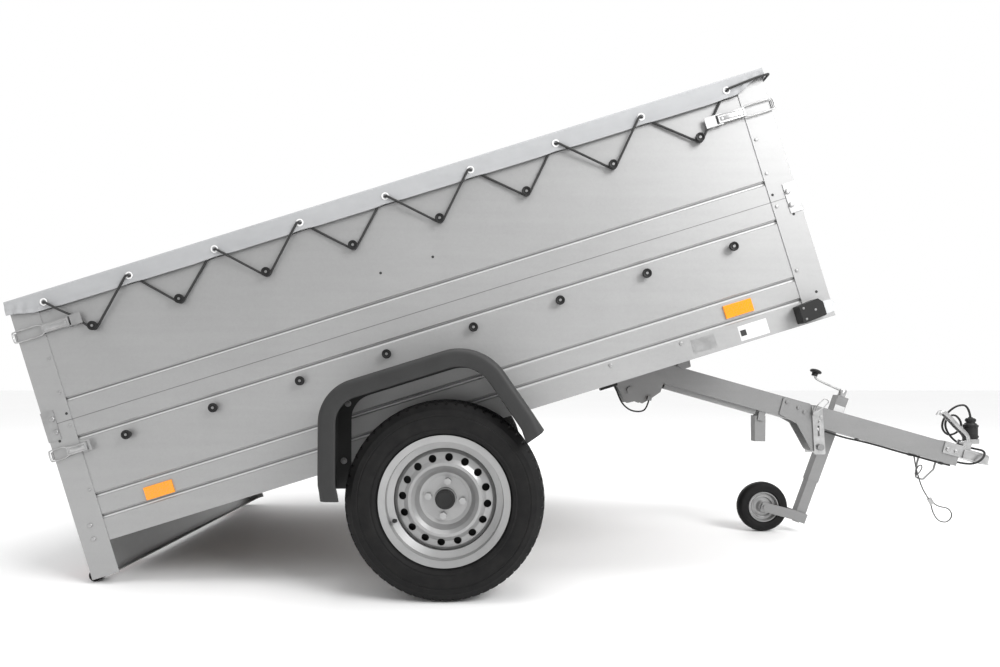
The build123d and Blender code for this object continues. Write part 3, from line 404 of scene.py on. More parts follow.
@dataclass(frozen=True)
class Tarpaulin:
    """Coated light-grey tarpaulin: fine weave under a matt coat, with soft creases whose hollows are also
    painted darker as shade.
    """

    name: str = "tarpaulin"

    def make(self) -> bpy.types.Material:
        """Builds the material."""
        paint = Paint(self.name)
        warp = paint.wave(420.0, "X")
        weft = paint.wave(420.0, "Z")
        crease = paint.noise(9.0, 5.0, 0.6, (0.5, 1.4, 1.4))
        dust = paint.noise(30.0, 4.0, 0.6)
        # Painted shade: the cloth is darker in the hollows of the creases; the dust adds a random tone.
        paint.set(Base_Color=paint.mix((crease * 0.6 + dust * 0.4).clamped(), tone(0.32, 0.325, 0.333),
                                       tone(0.43, 0.435, 0.443)),
                  Roughness=(0.55 + crease * 0.2))
        paint.shader.inputs["Sheen Weight"].default_value = 0.15
        paint.bump(warp * 0.12 + weft * 0.12 + crease * 0.76, 0.35, 0.0022)
        return paint.material


@dataclass(frozen=True)
class Braid:
    """Woven jacket of an elastic cord."""

    name: str = "elastic_braid"

    def make(self) -> bpy.types.Material:
        """Builds the material."""
        paint = Paint(self.name)
        weave = paint.cells(520.0, stretch=(1.0, 0.6, 1.0))
        fleck = paint.noise(260.0, 2.0, 0.5)
        paint.set(Base_Color=paint.mix(fleck, grey(0.010), grey(0.035)), Roughness=(0.62 + fleck * 0.2))
        paint.bump(weave, 0.5, 0.0008)
        return paint.material


@dataclass(frozen=True)
class LampGlass:
    """Coloured moulded lens with a prism pattern behind its surface, and an optional painted glow."""

    name: str
    colour: tuple[float, float, float]
    painted_glow: float = 0.0

    def make(self) -> bpy.types.Material:
        """Builds the material."""
        paint = Paint(self.name)
        prism = paint.cells(240.0)
        shade = tuple(value * 0.72 for value in self.colour)
        paint.set(Base_Color=paint.mix((prism * 1.6).clamped(), tone(*self.colour), tone(*shade)),
                  Roughness=(0.16 + prism * 0.2))
        paint.shader.inputs["Coat Weight"].default_value = 0.6
        # Painted glow: the lens gives off light of its own colour though it is no lamp.
        if self.painted_glow:
            paint.shader.inputs["Emission Color"].default_value = tone(*self.colour)
            paint.shader.inputs["Emission Strength"].default_value = self.painted_glow
        paint.bump(prism, 0.3, 0.0008)
        return paint.material


@dataclass(frozen=True)
class Plywood:
    """Film-faced plywood with a fine mesh print."""

    name: str = "film_faced_plywood"

    def make(self) -> bpy.types.Material:
        """Builds the material."""
        paint = Paint(self.name)
        grain = paint.noise(30.0, 6.0, 0.6, (0.1, 1.0, 1.0))
        mesh = paint.cells(260.0)
        paint.set(Base_Color=paint.mix(grain, tone(0.075, 0.045, 0.028), tone(0.14, 0.085, 0.05)),
                  Roughness=(0.45 + mesh * 0.25))
        paint.bump(mesh, 0.4, 0.0006)
        return paint.material


class Finish(Enum):
    """The trailer's finishes, one for each material that a piece can wear."""

    # Sheet and posts carry painted shade and painted highlights at their grooves and seams.
    SHEET = Galvanised(grooves=(0.074, 0.141, 0.323, 0.4443, 0.7273), seams=(SEAM_HEIGHT,))
    POST = Galvanised("galvanised_post", 0.31, 0.43, seams=(SEAM_HEIGHT,))
    TUBE = Galvanised("galvanised_tube", 0.19, 0.29)
    ZINC = ZincPlate("zinc_plate", 0.30, 0.46, 0.26)
    BRIGHT = ZincPlate()
    SCREW = ZincPlate("screw_zinc", 0.22, 0.36, 0.30)
    DARK_STEEL = ZincPlate("dark_zinc_nickel", 0.07, 0.14, 0.34)
    SILVER = Lacquer()
    BLACK = Moulded("black_plastic", 0.012, 900.0, 0.40, 0.15)
    GUARD = Moulded("mudguard_plastic", 0.026, 620.0, 0.44, 0.30)
    JACKET = Moulded("cable_jacket", 0.010, 1200.0, 0.36, 0.08)
    TYRE = TyreRubber()
    TARP = Tarpaulin()
    BRAID = Braid()
    # The reflector gets a faint painted glow.
    ORANGE = LampGlass("orange_reflector", (1.0, 0.33, 0.0), 0.15)
    WHITE_LENS = LampGlass("white_lens", (0.74, 0.75, 0.76))
    RED_LENS = LampGlass("red_lens", (0.55, 0.015, 0.01))
    WOOD = Plywood()
    LABEL = Moulded("blank_label", 0.62, 1500.0, 0.4, 0.03)
    # Dark colour for the label's print, and for the discs painted as shade in the open holes and behind the
    # wheel vents.
    PRINT = Moulded("print_and_painted_shade", 0.03, 1500.0, 0.5, 0.03)
    EYELET = Moulded("eyelet_white", 0.72, 1300.0, 0.35, 0.03)


class Wardrobe:
    """Makes each finish once and dresses objects in it."""

    def __init__(self) -> None:
        """Starts with no finish made."""
        self.made: dict[Finish, bpy.types.Material] = {}

    def material(self, finish: Finish) -> bpy.types.Material:
        """Material of a finish."""
        if finish not in self.made:
            self.made[finish] = finish.value.make()
        return self.made[finish]

    def dress(self, piece: bpy.types.Object, finish: Finish) -> None:
        """Puts one finish on all of an object."""
        material = self.material(finish)
        if len(piece.data.materials) == 0:
            piece.data.materials.append(material)
        for spot in piece.material_slots:
            spot.material = material


# ---------------------------------------------------------------- modelling bench


class Bench:
    """Modelling steps with Blender's own operators."""

    @staticmethod
    def clear() -> None:
        """Deselects everything, so an operator acts on the new piece alone."""
        if bpy.context.mode != "OBJECT":
            bpy.ops.object.mode_set(mode="OBJECT")
        bpy.ops.object.select_all(action="DESELECT")

    @staticmethod
    def pick(piece: bpy.types.Object) -> None:
        """Makes one piece the only one selected, and the active one."""
        Bench.clear()
        piece.select_set(True)
        bpy.context.view_layer.objects.active = piece

    @staticmethod
    def take(name: str) -> bpy.types.Object:
        """Names the primitive that was just added."""
        piece = bpy.context.active_object
        piece.name = name
        piece.data.name = name
        return piece

    @staticmethod
    def settle(piece: bpy.types.Object, matrix: Matrix | None = None) -> bpy.types.Object:
        """Applies a transform to the mesh and leaves the object at the origin."""
        move = matrix or Matrix.Identity(4)
        piece.data.transform(move @ piece.matrix_basis)
        piece.matrix_basis = Matrix.Identity(4)
        if move.determinant() < 0:
            piece.data.flip_normals()
        return piece

    @staticmethod
    def edit(piece: bpy.types.Object) -> None:
        """Picks one piece for editing, with none of its faces selected."""
        Bench.pick(piece)
        bpy.ops.object.mode_set(mode="EDIT")
        bpy.ops.mesh.select_all(action="DESELECT")
        bpy.ops.object.mode_set(mode="OBJECT")

    @staticmethod
    def pick_faces(piece: bpy.types.Object, wanted: Callable[[Any], bool]) -> None:
        """Selects faces by a test and enters edit mode."""
        Bench.edit(piece)
        for face in piece.data.polygons:
            face.select = wanted(face)
        bpy.ops.object.mode_set(mode="EDIT")
        bpy.ops.mesh.select_mode(type="FACE")

    @staticmethod
    def done() -> None:
        """Leaves edit mode."""
        bpy.ops.object.mode_set(mode="OBJECT")

    @staticmethod
    def add(piece: bpy.types.Object, kind: str, **values: Any) -> None:
        """Adds one modifier and applies it."""
        Bench.pick(piece)
        made = piece.modifiers.new(kind.lower(), kind)
        for key, value in values.items():
            setattr(made, key, value)
        bpy.ops.object.modifier_apply(modifier=made.name)

    @staticmethod
    def smooth(piece: bpy.types.Object, degrees: float = 35.0) -> None:
        """Smooth shading up to an angle."""
        Bench.pick(piece)
        bpy.ops.object.shade_smooth_by_angle(angle=math.radians(degrees))

    @staticmethod
    def meshed(form: bpy.types.Object, name: str) -> bpy.types.Object:
        """Turns a curve into a smooth mesh."""
        Bench.pick(form)
        bpy.ops.object.convert(target="MESH")
        piece = Bench.take(name)
        Bench.smooth(piece, SMOOTH_ROUND)
        return piece

    @staticmethod
    def tidy(piece: bpy.types.Object) -> None:
        """Merges doubles and turns every face outwards."""
        Bench.edit(piece)
        bpy.ops.object.mode_set(mode="EDIT")
        bpy.ops.mesh.select_all(action="SELECT")
        bpy.ops.mesh.remove_doubles(threshold=1e-6)
        bpy.ops.mesh.normals_make_consistent(inside=False)
        Bench.done()

    @staticmethod
    def join(name: str, pieces: Sequence[bpy.types.Object]) -> bpy.types.Object:
        """Joins pieces into one object."""
        Bench.clear()
        for piece in pieces:
            piece.select_set(True)
        bpy.context.view_layer.objects.active = pieces[0]
        if len(pieces) > 1:
            bpy.ops.object.join()
        return Bench.take(name)

    @staticmethod
    def copy(piece: bpy.types.Object, name: str, matrix: Matrix) -> bpy.types.Object:
        """Copies a piece with its own mesh and moves the copy's mesh."""
        twin = piece.copy()
        twin.data = piece.data.copy()
        twin.name = name
        twin.data.name = name
        bpy.context.collection.objects.link(twin)
        return Bench.settle(twin, matrix)


def grid_sheet(name: str, columns: int, rows: int,
               shape: Callable[[float, float], Vector]) -> bpy.types.Object:
    """Grid whose points a formula places.

    Args:
        name: The object's name.
        columns: Steps along u.
        rows: Steps along v.
        shape: Place of a point from its u and v, each from 0 to 1.

    Returns:
        The new object.
    """
    Bench.clear()
    bpy.ops.mesh.primitive_grid_add(x_subdivisions=columns, y_subdivisions=rows, size=1.0)
    sheet = Bench.take(name)
    for vertex in sheet.data.vertices:
        vertex.co = shape(vertex.co.x + 0.5, vertex.co.y + 0.5)
    return sheet


def ease(value: float) -> float:
    """Smooth step from 0 to 1."""
    held = min(1.0, max(0.0, value))
    return held * held * (3 - 2 * held)


def lathe(name: str, profile: Sequence[tuple[float, float]], around: int = 48) -> bpy.types.Object:
    """Turned piece about Z.

    Args:
        name: The object's name.
        profile: Outline as (radius, z); it closes on itself, or on the axis where a radius is nought.
        around: Steps round the axis.

    Returns:
        The new object.
    """
    last = len(profile) - 1

    def shape(u: float, v: float) -> Vector:
        """Point at a turn and a place along the outline."""
        radius, z = profile[round(v * last)]
        return Vector((radius * math.cos(2 * math.pi * u), radius * math.sin(2 * math.pi * u), z))

    piece = grid_sheet(name, around, last, shape)
    Bench.tidy(piece)
    Bench.smooth(piece, 32)
    return piece


def studs(name: str, outline: Sequence[tuple[float, float]], places: Sequence[Matrix],
          around: int = 20) -> bpy.types.Object:
    """Like turned studs at several places, joined into one piece."""
    return Bench.join(name, [Bench.settle(lathe("stud", outline, around), place) for place in places])


def round_curve(name: str, places: Sequence[Vector], radius: float,
                fineness: tuple[int, int]) -> bpy.types.Object:
    """Smooth round curve through its control points.

    Args:
        name: The object's name.
        places: Control points of its centre line.
        radius: Radius of its section.
        fineness: Blender's bevel resolution and its resolution along the curve.

    Returns:
        The new curve object.
    """
    data = bpy.data.curves.new(name, "CURVE")
    data.dimensions = "3D"
    data.bevel_depth = radius
    data.bevel_resolution, data.resolution_u = fineness
    data.use_fill_caps = True
    spline = data.splines.new("NURBS")
    spline.points.add(len(places) - 1)
    for spot, place in zip(spline.points, places):
        spot.co = (*place, 1.0)
    spline.order_u = 3
    spline.use_endpoint_u = True
    form = bpy.data.objects.new(name, data)
    bpy.context.collection.objects.link(form)
    return form


def wire(name: str, points: Sequence[Vector], radius: float, bend: float = 0.0) -> bpy.types.Object:
    """Bent round wire as a mesh.

    Args:
        name: The object's name.
        points: Corners of its centre line.
        radius: Radius of the wire.
        bend: How far before and after a corner the bend starts; nought gives one smooth line.

    Returns:
        The new object.
    """
    places = list(points)
    if bend:
        route = [places[0]]
        for before, corner, after in zip(places, places[1:], places[2:]):
            route.append(corner + (before - corner).normalized() * bend)
            route.append(corner + (after - corner).normalized() * bend)
        places = route + [places[-1]]
    return Bench.meshed(round_curve(name, places, radius, (4, 6)), name)


def brick(name: str, low: Point, high: Point, round_off: float = 0.0) -> bpy.types.Object:
    """Rectangular blank between two corners, its edges rounded."""
    Bench.clear()
    bpy.ops.mesh.primitive_cube_add(size=1.0)
    piece = Bench.take(name)
    for vertex in piece.data.vertices:
        vertex.co = Vector(high[axis] if vertex.co[axis] > 0 else low[axis] for axis in range(3))
    if round_off:
        Bench.add(piece, "BEVEL", width=round_off, segments=3, limit_method="ANGLE")
        Bench.smooth(piece, 40)
    return piece


# ---------------------------------------------------------------- running gear


@dataclass
class RoadTyre:
    """Road tyre with a tread of blocks and a ribbed sidewall."""

    wardrobe: Wardrobe
    radius: float = 0.2805
    half_width: float = 0.0825
    bead: float = 0.1688
    groove: float = 0.0068
    around: int = 372
    blocks: int = 62
    shoulder: float = 0.0625
    crown: float = 0.0045
    ribs: tuple[float, ...] = (0.014, 0.040)

    def profile(self) -> list[tuple[float, float]]:
        """Closed section as (radius, y): outside from bead to bead, then the inside."""
        half, r = self.half_width, self.radius
        wall = [(self.bead, 0.0600), (self.bead + 0.0165, 0.0645), (0.190, half - 0.0062),
                (0.199, half - 0.0018), (0.2035, half - 0.0030), (0.2075, half - 0.0008), (0.222, half),
                (0.236, half - 0.0004), (0.2385, half - 0.0020), (0.2415, half - 0.0008),
                (0.252, half - 0.0040), (0.2555, half - 0.0042), (0.2585, half - 0.0068),
                (0.268, half - 0.0125), (r - 0.0058, half - 0.0170)]
        tread = [(r - self.crown + self.crown * (1 - (y / self.shoulder) ** 4), y)
                 for y in [self.shoulder - 0.0025 * step for step in range(26)]]
        outer = wall + tread
        full = outer + [(radius, -y) for radius, y in outer[::-1][1:]]
        inner = [(self.bead, -0.048), (0.196, -0.060), (0.235, -0.070), (r - 0.020, -0.058),
                 (r - 0.014, -0.030), (r - 0.014, 0.030), (r - 0.020, 0.058), (0.235, 0.070), (0.196, 0.060),
                 (self.bead, 0.048)]
        return full + inner + [full[0]]

    def cut(self, turn: float, y: float) -> float:
        """Depth of the tread pattern at an angle and a place across."""
        side = abs(y)
        if any(abs(side - rib) < 0.0042 for rib in self.ribs):
            return self.groove
        lean = turn * self.blocks / (2 * math.pi) + (y * 26 if side < 0.012 else math.copysign(side, y) * 18)
        gap = lean % 1.0
        if side > 0.045:
            return self.groove * 0.8 if gap < 0.30 else 0.0
        if side > 0.017:
            return self.groove * 0.75 if gap < 0.20 else 0.0
        return self.groove * 0.4 if gap < 0.12 else 0.0

    def build(self) -> bpy.types.Object:
        """Tyre at the origin, its axle along Y."""
        section = self.profile()
        last = len(section) - 1

        def shape(u: float, v: float) -> Vector:
            """Point at a turn and a place round the section."""
            radius, y = section[round(v * last)]
            turn = 2 * math.pi * u
            if radius > self.radius - 0.0060 and abs(y) < 0.0700:
                radius -= self.cut(turn, y)
            return Vector((radius * math.cos(turn), y, radius * math.sin(turn)))

        tyre = grid_sheet("road_tyre", self.around, last, shape)
        Bench.tidy(tyre)
        Bench.smooth(tyre, 28)
        self.wardrobe.dress(tyre, Finish.TYRE)
        return tyre


@dataclass
class Wheels:
    """Both road wheels: tyres in place of the plain ones, valves, and caps on the hubs."""

    wardrobe: Wardrobe
    valve_turn: float = math.radians(202)
    valve_reach: float = 0.150
    valve_out: float = 0.052
    valve_lean: float = math.radians(78)
    cap_out: float = 0.0300

    def build(self) -> None:
        """Builds and mounts both sides."""
        pattern = RoadTyre(self.wardrobe).build()
        for side in Side:
            name = side.word
            centre = Matrix.Translation((WHEEL.x, side.value * WHEEL.y, WHEEL.z))
            tyre = Bench.copy(pattern, "tyre_" + name, centre)
            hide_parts("tyre_" + name)
            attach(tyre, "wheel_" + name)
            valve = self.valve(side)
            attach(valve, "wheel_" + name)
            cap = self.cap(side)
            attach(cap, "wheel_" + name)
            log.info("wheel %s built", name)
        bpy.data.objects.remove(pattern)

    def valve(self, side: Side) -> bpy.types.Object:
        """Rubber snap-in valve on the rim."""
        Bench.clear()
        bpy.ops.mesh.primitive_cylinder_add(vertices=20, radius=0.0055, depth=0.030)
        valve = Bench.take("valve_" + side.word)
        Bench.pick_faces(valve, lambda face: face.normal.z > FACING)
        bpy.ops.mesh.inset(thickness=0.0018)
        bpy.ops.mesh.extrude_region_move(TRANSFORM_OT_translate={"value": (0, 0, 0.011)})
        bpy.ops.mesh.bevel(offset=0.0008, segments=2)
        Bench.done()
        Bench.smooth(valve)
        self.wardrobe.dress(valve, Finish.BLACK)
        spot = Matrix.Translation((WHEEL.x + self.valve_reach * math.cos(self.valve_turn),
                                   side.value * (WHEEL.y + self.valve_out),
                                   WHEEL.z + self.valve_reach * math.sin(self.valve_turn)))
        turn = Matrix.Rotation(-side.value * self.valve_lean, 4, "X")
        return Bench.settle(valve, spot @ turn)

    def cap(self, side: Side) -> bpy.types.Object:
        """Blank black cap pressed over the hub."""
        Bench.clear()
        bpy.ops.mesh.primitive_cylinder_add(vertices=64, radius=0.0284, depth=0.010)
        cap = Bench.take("hub_cap_" + side.word)
        Bench.pick_faces(cap, lambda face: face.normal.z > FACING)
        bpy.ops.mesh.inset(thickness=0.0035)
        bpy.ops.mesh.extrude_region_move(TRANSFORM_OT_translate={"value": (0, 0, 0.0035)})
        bpy.ops.mesh.inset(thickness=0.004)
        bpy.ops.mesh.extrude_region_move(TRANSFORM_OT_translate={"value": (0, 0, -0.0016)})
        Bench.done()
        Bench.add(cap, "BEVEL", width=0.0009, segments=3, limit_method="ANGLE")
        Bench.smooth(cap)
        self.wardrobe.dress(cap, Finish.BLACK)
        spot = Matrix.Translation((WHEEL.x, side.value * (WHEEL.y + self.cap_out), WHEEL.z))
        return Bench.settle(cap, spot @ side.outward)


# ---------------------------------------------------------------- cover and its cords


@dataclass
class FlatCover:
    """Laced tarpaulin: a taut top with side skirts, two end flaps and turned hems."""

    wardrobe: Wardrobe
    top: float = 0.7785
    skirt_low: float = 0.7165
    side: float = 0.6452
    end: float = 0.0042
    edge_r: float = 0.007
    thickness: float = 0.0016
    eyelet_first: float = 0.114
    eyelet_pitch: float = 0.2683
    eyelet_count: int = 9
    eyelet_height: float = 0.742
    rear_lift: float = 0.018
    front_lift: float = 0.036

    def eyelets(self) -> list[float]:
        """Places of the eyelets along the box."""
        return [self.eyelet_first + self.eyelet_pitch * index for index in range(self.eyelet_count)]

    def low_edge(self, x: float) -> float:
        """Height of the skirt's hem along the box: drawn up at the corners and scalloped at the eyelets."""
        pull = sum(math.exp(-((x - spot) / 0.035) ** 2) for spot in self.eyelets())
        rear = self.rear_lift * (1 - ease(x / 0.10))
        front = self.front_lift * ease((x - 2.27) / 0.10)
        return self.skirt_low + 0.0035 * pull + rear + front

    def crease(self, x: float, drop: float) -> float:
        """Outward swell of the skirt: pulled in at the eyelets, puckered between them."""
        pull = sum(math.exp(-((x - spot) / 0.045) ** 2) for spot in self.eyelets())
        fold = noise.noise(Vector((x * 9.0, drop * 14.0, 3.1)))
        corner = ease(1 - min(x, BOX_LENGTH - x) / 0.16)
        gather = 0.0024 * corner * math.sin(x * 190.0 + drop * 60)
        return (0.0020 * (1 - pull) + 0.0022 * fold + gather) * ease(drop / 0.02)

    def main_sheet(self) -> None:
        """Top with both side skirts."""
        steps = 88
        skirt_share = 0.18

        def shape(u: float, v: float) -> Vector:
            """Point along the box and round the section."""
            x = -self.end + (BOX_LENGTH + 2 * self.end) * u
            spot = -1.0 + 2.0 * round(v * steps) / steps
            side = math.copysign(1.0, spot)
            reach = abs(spot)
            if reach > 1 - skirt_share:
                depth = (reach - 1 + skirt_share) / skirt_share
                height = self.top - self.edge_r
                z = height + (self.low_edge(x) - height) * depth
                return BED.at(x, side * (self.side + self.crease(x, height - z)), z)
            inner = reach / (1 - skirt_share)
            y = self.side * math.sin(min(1.0, inner) * math.pi / 2) ** 0.92
            edge = self.side - y
            fall = self.edge_r - math.sqrt(max(0.0, self.edge_r ** 2 - max(0.0, self.edge_r - edge) ** 2))
            sag = 0.006 * ease(edge / 0.25) * math.sin(math.pi * u)
            ripple = 0.0012 * noise.noise(Vector((x * 2.4, y * 3.2, 0.7))) * ease(edge / 0.05)
            return BED.at(x, side * y, self.top - fall - sag + ripple)

        sheet = grid_sheet("cover_top", 320, steps, shape)
        self.finish(sheet)
        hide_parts("cover_sheet")
        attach(sheet, "chassis")
        [maker(side) for side in Side for maker in (self.hem, self.ring)]

    def finish(self, sheet: bpy.types.Object) -> None:
        """Gives a sheet its thickness and its cloth."""
        Bench.tidy(sheet)
        Bench.add(sheet, "SOLIDIFY", thickness=self.thickness, offset=0.0)
        Bench.smooth(sheet, 60)
        self.wardrobe.dress(sheet, Finish.TARP)

    def flap(self, front: bool) -> None:
        """End flap that hangs over a hinged board."""
        face = BOX_LENGTH + self.end if front else -self.end
        out = 1.0 if front else -1.0
        low = self.skirt_low + 0.004

        def shape(u: float, v: float) -> Vector:
            """Point across the box and down the flap."""
            y = -self.side + 2 * self.side * u
            drop = (self.top - 0.0015 - low) * v
            swell = 0.0015 * noise.noise(Vector((y * 7.0, drop * 12.0, 5.0 + out))) * ease(v * 4)
            corner = 0.026 * ease((abs(y) - self.side + 0.10) / 0.10) * v
            return BED.at(face - out * 0.001 + out * swell, y, self.top - 0.0015 - drop + corner)

        name = "cover_flap_front" if front else "cover_flap_rear"
        sheet = grid_sheet(name, 120, 12, shape)
        self.finish(sheet)
        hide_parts("cover_front_flap" if front else "cover_rear_flap")
        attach(sheet, "chassis")
        tuple(BED.up)
        tuple(BED.at(face, 0, self.top - 0.001))
        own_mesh(sheet)

    def hem(self, side: Side) -> bpy.types.Object:
        """Stitched double edge along a side skirt."""
        def shape(u: float, v: float) -> Vector:
            """Point along the box and across the hem."""
            x = -self.end + 0.002 + (BOX_LENGTH + 2 * self.end - 0.004) * u
            low = self.low_edge(x)
            z = low + 0.0005 + 0.013 * v
            top = self.top - self.edge_r
            out = self.side + self.crease(x, top - z) + 0.0016
            stitch = 0.0004 * math.sin(x * 900) * (1 if v > 0.7 else 0)
            return BED.at(x, side.value * (out + stitch), z)

        strip = grid_sheet("cover_hem_" + side.word, 700, 6, shape)
        Bench.tidy(strip)
        Bench.add(strip, "SOLIDIFY", thickness=0.0012, offset=0.0)
        Bench.smooth(strip, 60)
        self.wardrobe.dress(strip, Finish.TARP)
        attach(strip, "chassis")
        return strip

    def ring(self, side: Side) -> bpy.types.Object:
        """Row of white eyelets on one side."""
        Bench.clear()
        bpy.ops.mesh.primitive_torus_add(major_radius=0.0092, minor_radius=0.0023, major_segments=36,
                                         minor_segments=12)
        first = Bench.take("eyelet_pattern")
        first.data.transform(Matrix.Diagonal((1, 1, 0.62, 1)))
        turn = Matrix.Rotation(math.pi / 2, 4, "X")
        rings = []
        for x in self.eyelets():
            spot = BED.matrix(x, side.value * (self.side + 0.0028), self.eyelet_height)
            rings.append(Bench.copy(first, "eyelet", spot @ turn))
        bpy.data.objects.remove(first)
        row = Bench.join("eyelets_" + side.word, rings)
        Bench.smooth(row, 60)
        self.wardrobe.dress(row, Finish.EYELET)
        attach(row, "chassis")
        return row

    def build(self) -> None:
        """Builds the cover's pieces."""
        self.main_sheet()
        for front in (True, False):
            self.flap(front)
        log.info("cover built")


@dataclass
class CoverHooks:
    """Round hooks in two rows on each side: foot, necked post and dished head with a pale screw."""

    wardrobe: Wardrobe
    first: float = 0.235
    pitch: float = 0.2724
    count: int = 8
    heights: tuple[float, float] = (0.630, 0.288)

    def pattern(self) -> tuple[bpy.types.Object, bpy.types.Object]:
        """One hook and its screw, standing on the origin along Z."""
        Bench.clear()
        bpy.ops.mesh.primitive_cylinder_add(vertices=40, radius=0.009, depth=0.004, location=(0, 0, 0.002))
        hook = Bench.take("hook_pattern")
        Bench.settle(hook)
        Bench.pick_faces(hook, lambda face: face.normal.z > FACING)
        bpy.ops.mesh.inset(thickness=0.002)
        bpy.ops.mesh.extrude_region_move(TRANSFORM_OT_translate={"value": (0, 0, 0.0092)})
        bpy.ops.mesh.extrude_region_move()
        bpy.ops.transform.resize(value=(2.0, 2.0, 1.0))
        bpy.ops.mesh.extrude_region_move(TRANSFORM_OT_translate={"value": (0, 0, 0.0078)})
        bpy.ops.mesh.inset(thickness=0.0040)
        bpy.ops.mesh.extrude_region_move(TRANSFORM_OT_translate={"value": (0, 0, -0.0030)})
        Bench.done()
        Bench.add(hook, "BEVEL", width=0.0011, segments=2, limit_method="ANGLE")
        Bench.clear()
        bpy.ops.mesh.primitive_cylinder_add(vertices=24, radius=0.0040, depth=0.0022, location=(0, 0, 0.0191))
        screw = Bench.take("screw_pattern")
        Bench.settle(screw)
        Bench.pick_faces(screw, lambda face: face.normal.z > FACING)
        bpy.ops.mesh.inset(thickness=0.0022)
        bpy.ops.mesh.extrude_region_move(TRANSFORM_OT_translate={"value": (0, 0, -0.0012)})
        Bench.done()
        Bench.add(screw, "BEVEL", width=0.0004, segments=2, limit_method="ANGLE")
        return hook, screw

    def build(self) -> None:
        """Copies the pattern to every place."""
        hook, screw = self.pattern()
        hooks, screws = [], []
        for side in Side:
            for height in self.heights:
                for index in range(self.count):
                    spot = BED.matrix(self.first + self.pitch * index, side.value * HALF_WIDTH, height)
                    hooks.append(Bench.copy(hook, "hook", spot @ side.outward))
                    screws.append(Bench.copy(screw, "screw", spot @ side.outward))
        for pattern in (hook, screw):
            bpy.data.objects.remove(pattern)
        row = Bench.join("cover_hooks", hooks)
        Bench.smooth(row, 40)
        self.wardrobe.dress(row, Finish.BLACK)
        heads = Bench.join("cover_hook_screws", screws)
        Bench.smooth(heads, 40)
        self.wardrobe.dress(heads, Finish.SCREW)
        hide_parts("cover_hooks_and_eyelets")
        for piece, name in ((row, "black_plastic"), (heads, "zinc_plate")):
            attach(piece, "chassis")
        log.info("cover hooks built")


# ---------------------------------------------------------------- free cords


